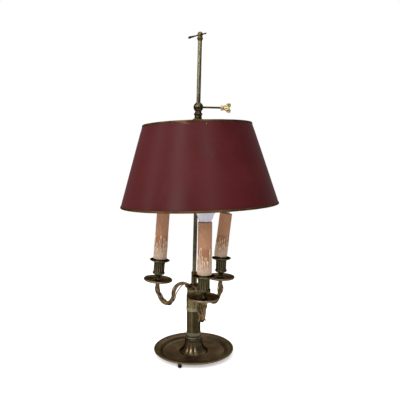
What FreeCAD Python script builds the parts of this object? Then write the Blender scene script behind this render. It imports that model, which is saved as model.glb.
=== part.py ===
import FreeCAD, Part
import Sketcher
import math
import os
import sys

# Bouillotte table lamp: a turned dish and stem, three S-shaped branches with
# candle fittings, a leaning centre rod with an arrow handle, and a metal cone
# shade on a collar that slides on the rod and is held by a flat-bow clamp key.
# Units are millimetres. Origin: centre of the felt's underside on the table.
# +Z is up, +X is to the right of the front view, -Y is towards the viewer.

doc = FreeCAD.newDocument("BouillotteLamp")
V = FreeCAD.Vector

DIMS = [
    ("felt_rad", 62.0, "felt disc radius"),
    ("felt_thick", 1.2, "felt disc thickness"),
    ("rim_rad", 86.1, "dish rim, outside radius"),
    ("rim_top", 12.2, "dish rim height above the table"),
    ("floor_rad", 65.0, "dish floor radius"),
    ("floor_top", 3.0, "dish floor height"),
    ("recess_top", 12.0, "ceiling of the nut recess under the dish"),
    ("tube_thread_rad", 5.0, "central threaded tube, outside radius"),
    ("tube_thread_bore", 3.5, "central threaded tube, bore radius"),
    ("tube_thread_top", 143.0, "central threaded tube, upper end"),
    ("pass_rad", 5.08, "clearance hole for the threaded tube, radius"),
    ("bell_foot_rad", 31.0, "bell foot radius"),
    ("bell_top", 33.0, "bell height"),
    ("bell_neck_rad", 18.6, "bell shoulder radius"),
    ("collar_top", 47.0, "moulded collar, upper end"),
    ("stem_rad", 14.7, "stem tube, outside radius"),
    ("stem_bore", 13.3, "stem tube, bore radius"),
    ("stem_top", 121.0, "stem tube, upper end"),
    ("band_low", 93.5, "stem band, lower edge"),
    ("band_high", 101.5, "stem band, upper edge"),
    ("band_rad", 15.7, "stem band radius"),
    ("capital_rad", 15.4, "capital skirt radius"),
    ("capital_lip", 18.8, "capital lip radius"),
    ("capital_top", 147.5, "capital lip height"),
    ("hub_rad", 8.5, "branch hub radius"),
    ("hub_top", 150.0, "branch hub, upper end"),
    ("rod_pivot", 115.0, "height where the rod's axis meets the stem's axis"),
    ("rod_lean", 1.45, "lean of the rod towards +X, degrees"),
    ("rod_rad", 4.25, "centre rod radius"),
    ("rod_low", 39.5, "rod, lower end along its axis"),
    ("rod_high", 547.0, "rod, shoulder under the cap"),
    ("rod_spigot_rad", 3.1, "rod spigot radius"),
    ("rod_spigot_end", 553.0, "rod spigot, upper end"),
    ("socket_rad", 6.2, "rod socket radius"),
    ("socket_low", 35.4, "rod socket, lower end"),
    ("socket_high", 63.0, "rod socket, upper end"),
    ("cap_high", 565.6, "rod cap, top"),
    ("cap_ring_rad", 6.2, "rod cap bead radius"),
    ("arrow_at", 559.6, "arrow bar, height along the rod"),
    ("arrow_turn", -43.0, "arrow bar, turn about the vertical, degrees"),
    ("arrow_point_len", 18.3, "arrow bar, length to the point"),
    ("arrow_leaf_len", 35.2, "arrow bar, length to the leaf's end"),
    ("ball_at", 412.2, "collar ball centre along the rod"),
    ("ball_rad", 10.2, "collar ball radius"),
    ("slide_bore", 4.32, "collar bore radius"),
    ("neck_rad", 6.2, "collar spindle radius inside the shade"),
    ("shoulder_at", 388.0, "collar shoulder above the spider"),
    ("spindle_low", 372.0, "collar spindle, lower end"),
    ("nut_rad", 9.2, "ring nut radius"),
    ("nut_low", 375.5, "ring nut, lower face"),
    ("nut_high", 381.2, "ring nut, upper face"),
    ("spider_bore", 6.28, "spider hub bore radius"),
    ("spider_hub_rad", 11.0, "spider hub radius"),
    ("spider_hub_low", 381.5, "spider hub, lower face"),
    ("spider_hub_high", 387.7, "spider hub, upper face"),
    ("spoke_rad", 1.7, "spider spoke radius"),
    ("key_rad", 2.0, "clamp screw radius"),
    ("key_hole", 2.06, "clamp screw hole radius"),
    ("bow_thick", 3.4, "key bow thickness"),
    ("shade_x", 13.1, "shade mouth centre, x"),
    ("shade_low", 322.7, "shade mouth height"),
    ("shade_tilt", -1.75, "tilt of the shade, degrees"),
    ("shade_rad_low", 167.0, "shade mouth, outside radius"),
    ("shade_rad_high", 114.3, "shade top, outside radius"),
    ("shade_height", 169.1, "shade height along its axis"),
    ("shade_sheet", 0.8, "shade sheet thickness across"),
    ("trim_height", 4.6, "shade edge trim height"),
    ("trim_half", 1.4, "shade edge trim half width"),
    ("pan_rad", 31.5, "drip pan radius"),
    ("pan_boss", 8.0, "drip pan boss radius"),
    ("cup_rad", 12.0, "candle cup radius"),
    ("cup_bead_rad", 13.5, "candle cup gadroon radius"),
    ("cup_lip_rad", 21.8, "candle cup lip radius"),
    ("cup_seat", 47.8, "seat of the candle in the cup"),
    ("nipple_rad", 3.0, "candle nipple radius"),
    ("nipple_bore", 2.0, "candle nipple bore radius"),
    ("nipple_hole", 3.08, "clearance hole for the nipple"),
    ("sleeve_rad", 14.0, "candle sleeve radius"),
    ("sleeve_bore", 12.35, "candle sleeve bore radius"),
    ("holder_rad", 10.8, "lamp holder radius"),
    ("holder_cavity", 7.5, "lamp holder cavity radius"),
    ("cap_rad", 6.9, "bulb cap radius"),
    ("globe_rad", 22.5, "globe bulb radius"),
    ("wire_rad", 1.1, "branch wire radius"),
    ("wire_gap", 0.6, "branch wire, gap to the branch"),
    ("len_left", 101.0, "left candle sleeve length"),
    ("len_right", 99.0, "right candle sleeve length"),
    ("len_front", 104.0, "front candle sleeve length"),
]

sheet = doc.addObject("Spreadsheet::Sheet", "Dims")
for row, (alias, value, note) in enumerate(DIMS, 1):
    sheet.set("A%d" % row, note)
    sheet.set("B%d" % row, str(value))
    sheet.setAlias("B%d" % row, alias)
doc.recompute()


def dim(alias):
    return float(sheet.get(alias))


def val(c):
    """A coordinate is a number, or (cell, offset)."""
    return dim(c[0]) + c[1] if isinstance(c, tuple) else float(c)


def bind(obj, prop, c):
    if isinstance(c, tuple):
        obj.setExpression(prop, "Dims.%s + %g" % c)
    elif isinstance(c, str):
        obj.setExpression(prop, "Dims.%s" % c)


PARTS = []


def keep(obj, label, place=None):
    obj.Label = label
    if place is not None:
        obj.Placement = place
    PARTS.append(obj)
    return obj


def plane(body, role):
    return next(f for f in body.Origin.OriginFeatures if f.Role == role)


def sketch_loop(body, name, role, start, segs):
    """Closed profile on an origin plane. Segments: ("L", p), ("A", mid, p),
    ("S", [p, ...]) and a closing line. Vertices are dimensioned from the
    origin, and the ones given by a cell are bound to it."""
    sk = body.newObject("Sketcher::SketchObject", name)
    sk.AttachmentSupport = (plane(body, role), [""])
    sk.MapMode = "FlatFace"
    here = start
    verts = [start]
    geos = []
    segs = list(segs)
    last = segs[-1][-1][-1] if segs[-1][0] == "S" else segs[-1][-1]
    if (val(last[0]), val(last[1])) != (val(start[0]), val(start[1])):
        segs.append(("L", start))

    def pt(p):
        return V(val(p[0]), val(p[1]), 0)

    for seg in segs:
        if seg[0] == "L":
            geos.append(sk.addGeometry(Part.LineSegment(pt(here), pt(seg[1])), False))
            here = seg[1]
        elif seg[0] == "A":
            geos.append(sk.addGeometry(Part.Arc(pt(here), pt(seg[1]), pt(seg[2])), False))
            here = seg[2]
        else:
            curve = Part.BSplineCurve()
            curve.interpolate([pt(here)] + [pt(p) for p in seg[1]])
            geos.append(sk.addGeometry(curve, False))
            here = seg[1][-1]
        verts.append(here)
    n = len(geos)
    # an arc runs counter-clockwise, so its ends may be swapped
    ends = []
    for k, g in enumerate(geos):
        geo = sk.Geometry[g]
        first = geo.value(geo.FirstParameter)
        a = pt(verts[k])
        ends.append((1, 2) if (first - a).Length < 1e-6 else (2, 1))
    for k in range(n):
        j = (k + 1) % n
        sk.addConstraint(Sketcher.Constraint("Coincident", geos[k], ends[k][1], geos[j], ends[j][0]))
    for k in range(n):
        p = verts[k]
        g, e = geos[k], ends[k][0]
        for axis, c in ((0, p[0]), (1, p[1])):
            kind = ("DistanceX", "DistanceY")[axis]
            v = val(c)
            if abs(v) < 1e-9:
                sk.addConstraint(Sketcher.Constraint("PointOnObject", g, e, (-2, -1)[axis]))
                continue
            at = sk.addConstraint(Sketcher.Constraint(kind, -1, 1, g, e, v))
            if isinstance(c, tuple):
                sk.setExpression("Constraints[%d]" % at, "Dims.%s + %g" % c)
    return sk


def turned(label, start, segs, place=None):
    """A piece turned about its own Z axis."""
    body = doc.addObject("PartDesign::Body", label)
    sk = sketch_loop(body, label + "_profile", "XZ_Plane", start, segs)
    rev = body.newObject("PartDesign::Revolution", label + "_turn")
    rev.Profile = sk
    rev.ReferenceAxis = (sk, ["V_Axis"])
    rev.Angle = 360.0
    return keep(body, label, place)


def primitive(kind, name, place=None, **props):
    obj = doc.addObject(kind, name)
    for prop, c in props.items():
        if isinstance(c, (tuple, str)):
            bind(obj, prop, c)
        else:
            setattr(obj, prop, c)
    if place is not None:
        obj.Placement = place
    return obj


def lean_y(pos, deg):
    return FreeCAD.Placement(pos, FreeCAD.Rotation(V(0, 1, 0), deg))


ROD = lean_y(V(0, 0, dim("rod_pivot")), dim("rod_lean"))
SHADE = lean_y(V(dim("shade_x"), 0, dim("shade_low")), dim("shade_tilt"))

# ---------------------------------------------------------------- base
felt = primitive("Part::Cylinder", "felt_disc", Radius="felt_rad", Height="felt_thick")
keep(felt, "base_felt")

turned(
    "base_dish",
    (("pass_rad", 0), ("recess_top", 0)),
    [
        ("L", (13.5, ("recess_top", 0))),
        ("L", (14.6, ("felt_thick", 0.02))),
        ("L", (63.0, ("felt_thick", 0.02))),
        ("S", [(66.5, 1.7), (69.5, 3.4), (72.5, 6.6), (76.5, 8.6), (83.1, 9.4)]),
        ("A", (86.1, 10.4), (84.1, ("rim_top", 0))),
        ("S", [(82.6, 11.55), (79.0, 11.0), (75.0, 10.2), (72.0, 8.9), (69.8, 6.6), (67.6, 4.2), (("floor_rad", 0), ("floor_top", 0))]),
        ("L", (16.4, ("floor_top", 0))),
        ("L", (15.4, ("recess_top", 1.6))),
        ("L", (("pass_rad", 0), ("recess_top", 1.6))),
    ],
)

turned(
    "base_washer",
    (("pass_rad", 0), ("recess_top", -1.5)),
    [
        ("L", (11.0, ("recess_top", -1.5))),
        ("L", (11.0, ("recess_top", 0))),
        ("L", (("pass_rad", 0), ("recess_top", 0))),
    ],
)

# hexagon nut under the dish, 14 mm across flats
body = doc.addObject("PartDesign::Body", "base_nut")
sk = body.newObject("Sketcher::SketchObject", "base_nut_outline")
sk.AttachmentSupport = (plane(body, "XY_Plane"), [""])
sk.MapMode = "FlatFace"
hexr = 7.0 / math.cos(math.pi / 6)
corners = [V(hexr * math.cos(k * math.pi / 3), hexr * math.sin(k * math.pi / 3), 0) for k in range(6)]
for k in range(6):
    sk.addGeometry(Part.LineSegment(corners[k], corners[(k + 1) % 6]), False)
for k in range(6):
    sk.addConstraint(Sketcher.Constraint("Coincident", k, 2, (k + 1) % 6, 1))
hole = sk.addGeometry(Part.Circle(V(0, 0, 0), V(0, 0, 1), dim("pass_rad")), False)
sk.addConstraint(Sketcher.Constraint("Coincident", hole, 3, -1, 1))
at = sk.addConstraint(Sketcher.Constraint("Radius", hole, dim("pass_rad")))
sk.setExpression("Constraints[%d]" % at, "Dims.pass_rad")
pad = body.newObject("PartDesign::Pad", "base_nut_pad")
pad.Profile = sk
pad.Length = 5.0
keep(body, "base_nut", FreeCAD.Placement(V(0, 0, dim("recess_top") - 1.5 - 5.0), FreeCAD.Rotation()))

turned(
    "threaded_tube",
    (("tube_thread_bore", 0), 3.2),
    [
        ("L", (("tube_thread_rad", 0), 3.2)),
        ("L", (("tube_thread_rad", 0), ("tube_thread_top", 0))),
        ("L", (("tube_thread_bore", 0), ("tube_thread_top", 0))),
    ],
)

turned(
    "base_bell",
    (29.0, ("floor_top", 0)),
    [
        ("L", (("bell_foot_rad", 0), ("floor_top", 0))),
        ("L", (("bell_foot_rad", 0), ("floor_top", 1.2))),
        ("S", [(26.2, 7.6), (21.8, 13.5), (19.4, 20.5), (18.5, 27.0), (("bell_neck_rad", 0), ("bell_top", -1.6))]),
        ("A", (18.2, 32.4), (17.2, ("bell_top", 0))),
        ("L", (("pass_rad", 0), ("bell_top", 0))),
        ("L", (("pass_rad", 0), ("bell_top", -2.2))),
        ("L", (16.7, ("bell_top", -2.2))),
        ("S", [(16.7, 27.0), (17.5, 20.5), (19.9, 13.2), (24.2, 7.0), (29.0, ("floor_top", 0))]),
    ],
)

turned(
    "base_collar",
    (("pass_rad", 0), ("bell_top", 0)),
    [
        ("L", (15.9, ("bell_top", 0))),
        ("A", (17.5, 35.0), (15.9, 37.0)),
        ("L", (14.3, 37.6)),
        ("L", (14.3, 38.4)),
        ("A", (15.6, 39.4), (15.6, 41.0)),
        ("L", (15.5, 45.2)),
        ("A", (15.3, 46.5), (14.6, ("collar_top", 0))),
        ("L", (13.2, ("collar_top", 0))),
        ("L", (13.2, ("collar_top", 6))),
        ("L", (("pass_rad", 0), ("collar_top", 6))),
    ],
)

turned(
    "stem_tube",
    (("stem_bore", 0), ("collar_top", 0)),
    [
        ("L", (("stem_rad", 0), ("collar_top", 0))),
        ("L", (("stem_rad", 0), ("stem_top", 0))),
        ("L", (("stem_bore", 0), ("stem_top", 0))),
    ],
)

turned(
    "stem_band",
    (("stem_rad", 0.05), ("band_low", 0)),
    [
        ("L", (("band_rad", -0.5), ("band_low", 0))),
        ("A", (("band_rad", 0.1), ("band_low", 1.2)), (("band_rad", -0.3), ("band_low", 2.4))),
        ("L", (("band_rad", -0.3), ("band_high", -2.4))),
        ("A", (("band_rad", 0.1), ("band_high", -1.2)), (("band_rad", -0.5), ("band_high", 0))),
        ("L", (("stem_rad", 0.05), ("band_high", 0))),
    ],
)

turned(
    "capital",
    (("stem_rad", 0.05), ("band_high", 0)),
    [
        ("L", (("capital_rad", -0.2), ("band_high", 0))),
        ("L", (("capital_rad", 0), ("band_high", 1.2))),
        ("L", (("capital_rad", 0), 123.0)),
        ("S", [(14.9, 128.0), (13.9, 134.0), (13.8, 138.0), (15.3, 142.8), (("capital_lip", -0.5), 146.2)]),
        ("A", (("capital_lip", 0), 146.9), (("capital_lip", -0.7), ("capital_top", 0))),
        ("S", [(14.6, 144.9), (12.6, 140.0), (12.3, 136.5), (12.6, 131.5), (13.2, 126.0), (13.35, 121.2)]),
        ("L", (("stem_rad", 0.05), 121.2)),
    ],
)

turned(
    "branch_hub",
    (("pass_rad", 0), 131.0),
    [
        ("L", (7.2, 131.0)),
        ("L", (("hub_rad", 0), 133.0)),
        ("L", (("hub_rad", 0), 148.2)),
        ("A", (8.0, 149.4), (6.6, ("hub_top", 0))),
        ("L", (0, ("hub_top", 0))),
        ("L", (0, ("tube_thread_top", 0.2))),
        ("L", (("pass_rad", 0), ("tube_thread_top", 0.2))),
    ],
)

# ---------------------------------------------------------------- rod
turned(
    "rod_socket",
    (0, ("socket_low", 0)),
    [
        ("L", (6.4, ("socket_low", 0))),
        ("A", (6.9, 36.6), (6.6, 37.8)),
        ("L", (("socket_rad", 0), 38.6)),
        ("L", (("socket_rad", 0), ("socket_high", -2.6))),
        ("A", (6.65, 61.6), (("socket_rad", -0.1), ("socket_high", 0))),
        ("L", (4.3, ("socket_high", 0))),
        ("L", (4.3, ("rod_low", -0.2))),
        ("L", (0, ("rod_low", -0.2))),
    ],
    ROD,
)

turned(
    "centre_rod",
    (0, ("rod_low", 0)),
    [
        ("L", (("rod_rad", 0), ("rod_low", 0))),
        ("L", (("rod_rad", 0), ("rod_high", 0))),
        ("L", (("rod_spigot_rad", 0), ("rod_high", 0))),
        ("L", (("rod_spigot_rad", 0), ("rod_spigot_end", 0))),
        ("L", (0, ("rod_spigot_end", 0))),
    ],
    ROD,
)

turned(
    "rod_cap",
    (("rod_spigot_rad", 0.02), ("rod_high", 0.02)),
    [
        ("L", (4.3, ("rod_high", 0.02))),
        ("L", (4.9, 549.6)),
        ("A", (("cap_ring_rad", 0), 552.1), (4.9, 554.6)),
        ("S", [(5.1, 557.0), (5.5, 560.0), (4.9, 563.2), (2.8, 565.1), (0, ("cap_high", 0))]),
        ("L", (0, ("rod_spigot_end", 0.1))),
        ("L", (("rod_spigot_rad", 0.02), ("rod_spigot_end", 0.1))),
    ],
    ROD,
)

# the arrow bar is turned along its own axis, point to +Z of the profile
arrow_spin = FreeCAD.Rotation(V(0, 0, 1), dim("arrow_turn")) * FreeCAD.Rotation(V(0, 1, 0), 90)
turned(
    "arrow_handle",
    (0, ("arrow_point_len", 0)),
    [
        ("S", [(0.9, 17.2), (1.55, 14.6), (1.3, 12.0), (1.15, 9.5)]),
        ("L", (1.15, -8.0)),
        ("S", [(1.35, -12.0), (1.9, -19.0), (2.45, -27.0), (2.3, -32.5), (0, ("arrow_leaf_len", -70.4))]),
    ],
    FreeCAD.Placement(ROD.multVec(V(0, 0, dim("arrow_at"))), arrow_spin),
)

# ---------------------------------------------------------------- sliding collar
b = dim("ball_at")
turned(
    "slide_collar",
    (("slide_bore", 0), ("spindle_low", 0)),
    [
        ("L", (("neck_rad", 0), ("spindle_low", 0))),
        ("L", (("neck_rad", 0), ("shoulder_at", 0))),
        ("L", (7.85, ("shoulder_at", 0))),
        ("L", (7.85, 391.5)),
        ("S", [(7.45, 394.1), (8.0, 395.7)]),
        ("A", (9.15, 397.8), (7.7, 400.0)),
        ("S", [(6.6, 401.8), (6.6, 403.2), (6.9, ("ball_at", -7.512))]),
        ("A", (("ball_rad", 0), ("ball_at", 0)), (6.3, ("ball_at", 8.022))),
        ("L", (5.6, 421.2)),
        ("L", (("slide_bore", 0), 421.2)),
    ],
    ROD,
)
collar = PARTS[-1]
# the clamp screw's hole, drilled into the ball from its right side
sk = collar.newObject("Sketcher::SketchObject", "slide_collar_hole")
sk.AttachmentSupport = (plane(collar, "YZ_Plane"), [""])
sk.MapMode = "FlatFace"
hole = sk.addGeometry(Part.Circle(V(0, b, 0), V(0, 0, 1), dim("key_hole")), False)
sk.addConstraint(Sketcher.Constraint("PointOnObject", hole, 3, -2))
at = sk.addConstraint(Sketcher.Constraint("DistanceY", -1, 1, hole, 3, b))
sk.setExpression("Constraints[%d]" % at, "Dims.ball_at")
at = sk.addConstraint(Sketcher.Constraint("Radius", hole, dim("key_hole")))
sk.setExpression("Constraints[%d]" % at, "Dims.key_hole")
doc.recompute()
before = collar.Shape.Volume
drill = collar.newObject("PartDesign::Pocket", "slide_collar_drill")
drill.Profile = sk
drill.Length = 14.0
drill.Reversed = True
collar.Tip = drill
doc.recompute()
print("collar hole cuts", round(before - collar.Shape.Volume, 1), "mm3")

turned(
    "spider_nut",
    (("neck_rad", 0.03), ("nut_low", 0)),
    [
        ("L", (("nut_rad", -0.8), ("nut_low", 0))),
        ("L", (("nut_rad", 0), ("nut_low", 0.8))),
        ("L", (("nut_rad", 0), ("nut_high", -0.8))),
        ("L", (("nut_rad", -0.8), ("nut_high", 0))),
        ("L", (("neck_rad", 0.03), ("nut_high", 0))),
    ],
    ROD,
)

# ---------------------------------------------------------------- clamp key
# the collar's hole is square to the rod, so the key dips by the rod's lean
KEYROT = FreeCAD.Rotation(V(0, 1, 0), dim("rod_lean"))
KEYAT = ROD.multVec(V(0, 0, b))
KEY = FreeCAD.Placement(KEYAT, KEYROT * FreeCAD.Rotation(V(0, 1, 0), 90))
kx = KEYAT.x
turned(
    "key_screw",
    (0, 4.55),
    [
        ("L", (1.3, 4.55)),
        ("L", (("key_rad", 0), 5.4)),
        ("L", (("key_rad", 0), 52.2)),
        ("L", (0, 52.2)),
    ],
    KEY,
)

# flat bow: square shoulder, waist, and two rounded lobes with a notch between
body = doc.addObject("PartDesign::Body", "key_bow")
sk = sketch_loop(
    body,
    "key_bow_outline",
    "XZ_Plane",
    (46.9, -5.6),
    [
        ("L", (50.6, -5.6)),
        ("S", [(53.4, -5.0), (57.0, -6.4), (60.0, -9.0)]),
        ("A", (64.6, -10.3), (67.6, -6.0)),
        ("S", [(66.9, -2.6), (64.9, 0.0), (66.9, 2.6), (67.6, 6.0)]),
        ("A", (64.6, 10.3), (60.0, 9.0)),
        ("S", [(57.0, 6.4), (53.4, 5.0), (50.6, 5.6)]),
        ("L", (46.9, 5.6)),
    ],
)
pad = body.newObject("PartDesign::Pad", "key_bow_pad")
pad.Profile = sk
pad.Midplane = True
pad.setExpression("Length", "Dims.bow_thick")
doc.recompute()
sk = body.newObject("Sketcher::SketchObject", "key_bow_socket")
sk.AttachmentSupport = (plane(body, "XZ_Plane"), [""])
sk.MapMode = "FlatFace"
doc.recompute()
keep(body, "key_bow", FreeCAD.Placement(KEYAT, KEYROT))
body.removeObject(sk)
doc.removeObject(sk.Name)

# a round shank boss at the bow's root, with the socket for the screw in it
boss = body.newObject("Sketcher::SketchObject", "key_bow_boss_profile")
boss.AttachmentSupport = (plane(body, "XY_Plane"), [""])
boss.MapMode = "FlatFace"
pts = [V(46.9, 0, 0), V(46.9, 3.3, 0), V(52.4, 3.3, 0), V(53.6, 2.4, 0), V(53.6, 0, 0)]
for k in range(5):
    boss.addGeometry(Part.LineSegment(pts[k], pts[(k + 1) % 5]), False)
for k in range(5):
    boss.addConstraint(Sketcher.Constraint("Coincident", k, 2, (k + 1) % 5, 1))
add = body.newObject("PartDesign::Revolution", "key_bow_boss")
add.Profile = boss
add.ReferenceAxis = (boss, ["H_Axis"])
add.Angle = 360.0
body.Tip = add
doc.recompute()
before = body.Shape.Volume
bore = body.newObject("Sketcher::SketchObject", "key_bow_bore_profile")
bore.AttachmentSupport = (plane(body, "XY_Plane"), [""])
bore.MapMode = "FlatFace"
kr = dim("key_hole")
pts = [V(46.8, 0, 0), V(46.8, kr, 0), V(52.35, kr, 0), V(52.35, 0, 0)]
for k in range(4):
    bore.addGeometry(Part.LineSegment(pts[k], pts[(k + 1) % 4]), False)
for k in range(4):
    bore.addConstraint(Sketcher.Constraint("Coincident", k, 2, (k + 1) % 4, 1))
cut = body.newObject("PartDesign::Groove", "key_bow_bore")
cut.Profile = bore
cut.ReferenceAxis = (bore, ["H_Axis"])
cut.Angle = 360.0
body.Tip = cut
doc.recompute()
print("bow socket cuts", round(before - body.Shape.Volume, 1), "mm3")

# ---------------------------------------------------------------- shade
drop = dim("shade_rad_low") - dim("shade_rad_high")
slope = drop / dim("shade_height")


def edge_rad(h):
    """Outside radius of the cone at a height along the shade's axis."""
    return dim("shade_rad_low") - 0.6 - slope * h


th = dim("trim_height")
sheet_t = dim("shade_sheet")
hl, hh = th - 0.5, dim("shade_height") - th + 0.5
turned(
    "shade_skin",
    (edge_rad(hl), hl),
    [
        ("L", (edge_rad(hh), hh)),
        ("L", (edge_rad(hh) - sheet_t, hh)),
        ("L", (edge_rad(hl) - sheet_t, hl)),
    ],
    SHADE,
)
w = dim("trim_half")
for label, h0, h1 in (
    ("shade_rim_bottom", 0.0, th - 0.6),
    ("shade_rim_top", dim("shade_height") - th + 0.6, dim("shade_height")),
):
    c0, c1 = h0 + w, h1 - w
    r0, r1 = edge_rad(c0) - 0.7, edge_rad(c1) - 0.7
    turned(
        label,
        (r0 + w, c0),
        [
            ("L", (r1 + w, c1)),
            ("L", (r1 + 0.7 * w, c1 + 0.7 * w)),
            ("L", (r1, c1 + w)),
            ("L", (r1 - 0.7 * w, c1 + 0.7 * w)),
            ("L", (r1 - w, c1)),
            ("L", (r0 - w, c0)),
            ("L", (r0 - 0.7 * w, c0 - 0.7 * w)),
            ("L", (r0, c0 - w)),
            ("L", (r0 + 0.7 * w, c0 - 0.7 * w)),
        ],
        SHADE,
    )

# spider: a hub that turns on the collar's spindle and three spokes to the skin
hub_out = primitive(
    "Part::Cylinder", "spider_hub_blank", ROD.multiply(FreeCAD.Placement(V(0, 0, dim("spider_hub_low")), FreeCAD.Rotation())),
    Radius="spider_hub_rad", Height=dim("spider_hub_high") - dim("spider_hub_low"),
)
hub_hole = primitive(
    "Part::Cylinder", "spider_hub_hole", ROD.multiply(FreeCAD.Placement(V(0, 0, dim("spider_hub_low") - 5), FreeCAD.Rotation())),
    Radius="spider_bore", Height=20,
)
SPOKES = (39.0, 159.0, 279.0)
spokes = []
for k, az in enumerate(SPOKES):
    a = math.radians(az)
    mid = (dim("spider_hub_low") + dim("spider_hub_high")) / 2
    p0 = ROD.multVec(V(8.5 * math.cos(a), 8.5 * math.sin(a), mid))
    h1 = 161.0
    r1 = edge_rad(h1) - sheet_t - 0.75
    p1 = SHADE.multVec(V(r1 * math.cos(a), r1 * math.sin(a), h1))
    d = p1 - p0
    spokes.append(primitive(
        "Part::Cylinder", "spider_spoke_%d" % (k + 1),
        FreeCAD.Placement(p0, FreeCAD.Rotation(V(0, 0, 1), d)),
        Radius="spoke_rad", Height=d.Length,
    ))
fuse = doc.addObject("Part::MultiFuse", "spider_blank")
fuse.Shapes = [hub_out] + spokes
spider = doc.addObject("Part::Cut", "shade_spider_cut")
spider.Base = fuse
spider.Tool = hub_hole
keep(spider, "shade_spider")

# ---------------------------------------------------------------- branches
UNITS = {
    # name: pan centre, lean of pan and cup, candle's sideways set in the cup,
    # lean of candle, sleeve length cell
    "left": (V(-78.6, 23.8, 154.3), 5.4, 0.0, 4.6, "len_left"),
    "right": (V(61.0, 55.5, 151.7), 1.5, -1.9, 7.0, "len_right"),
    "front": (V(21.6, -79.3, 144.2), 0.0, 1.0, 0.8, "len_front"),
}
LINE = [
    # radius from the stem's axis, height, radius of the section
    (4.7, 146.4, 2.9), (12.7, 148.9, 2.9), (22.0, 150.9, 2.9), (31.0, 148.4, 2.9),
    (39.4, 140.8, 3.1), (43.2, 134.2, 3.3), (45.2, 127.6, 3.5), (47.4, 118.4, 3.8),
    (51.8, 109.4, 4.1), (61.2, 102.9, 4.3), (70.6, 105.9, 4.4), (76.8, 113.4, 4.4),
    (80.6, 122.4, 4.4), (82.5, 131.6, 4.4),
]


def smooth(t):
    t = max(0.0, min(1.0, t))
    return t * t * (3 - 2 * t)


def along(curve, count):
    """Points, tangents and arc lengths at even steps along a curve."""
    fine = 600
    a, z = curve.FirstParameter, curve.LastParameter
    pts = [curve.value(a + (z - a) * k / fine) for k in range(fine + 1)]
    run = [0.0]
    for k in range(fine):
        run.append(run[-1] + (pts[k + 1] - pts[k]).Length)
    out = []
    j = 0
    for i in range(count):
        want = run[-1] * i / (count - 1)
        while j < fine - 1 and run[j + 1] < want:
            j += 1
        part = (want - run[j]) / (run[j + 1] - run[j])
        p = a + (z - a) * (j + part) / fine
        tan = curve.tangent(p)[0]
        out.append((curve.value(p), V(tan.x, tan.y, tan.z).normalize(), want))
    return out, run[-1], pts, run


def rounded_path(points):
    """Straight runs joined by tangent arcs, as large as the runs allow."""
    edges = []
    here = points[0]
    small = 1e9
    length = 0.0
    for k in range(1, len(points) - 1):
        p = points[k]
        u1, u2 = p - points[k - 1], points[k + 1] - p
        l1, l2 = u1.Length, u2.Length
        u1, u2 = u1.normalize(), u2.normalize()
        turn = u1.getAngle(u2)
        if turn < 1e-4:
            continue
        t = 0.45 * min(l1, l2)
        rad = t / math.tan(turn / 2)
        small = min(small, rad)
        bis = (u2 - u1).normalize()
        a, c = p - u1 * t, p + u2 * t
        m = p + bis * (rad / math.cos(turn / 2) - rad)
        edges.append(Part.LineSegment(here, a).toShape())
        edges.append(Part.Arc(a, m, c).toShape())
        length += (a - here).Length + rad * turn
        here = c
    edges.append(Part.LineSegment(here, points[-1]).toShape())
    length += (points[-1] - here).Length
    return Part.Wire(edges), small, length


def tube(points, rad, name):
    wire, small, length = rounded_path(points)
    first = (points[1] - points[0]).normalize()
    ring = Part.Wire([Part.makeCircle(rad, points[0], first)])
    solid = wire.makePipeShell([ring], True, False)
    if solid.ShapeType != "Solid":
        solid = Part.Solid(solid.Shells[0])
    want = math.pi * rad * rad * length
    print("%s: length %.1f, volume %.1f of %.1f, tightest arc %.1f" % (name, length, solid.Volume, want, small))
    return solid


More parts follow.
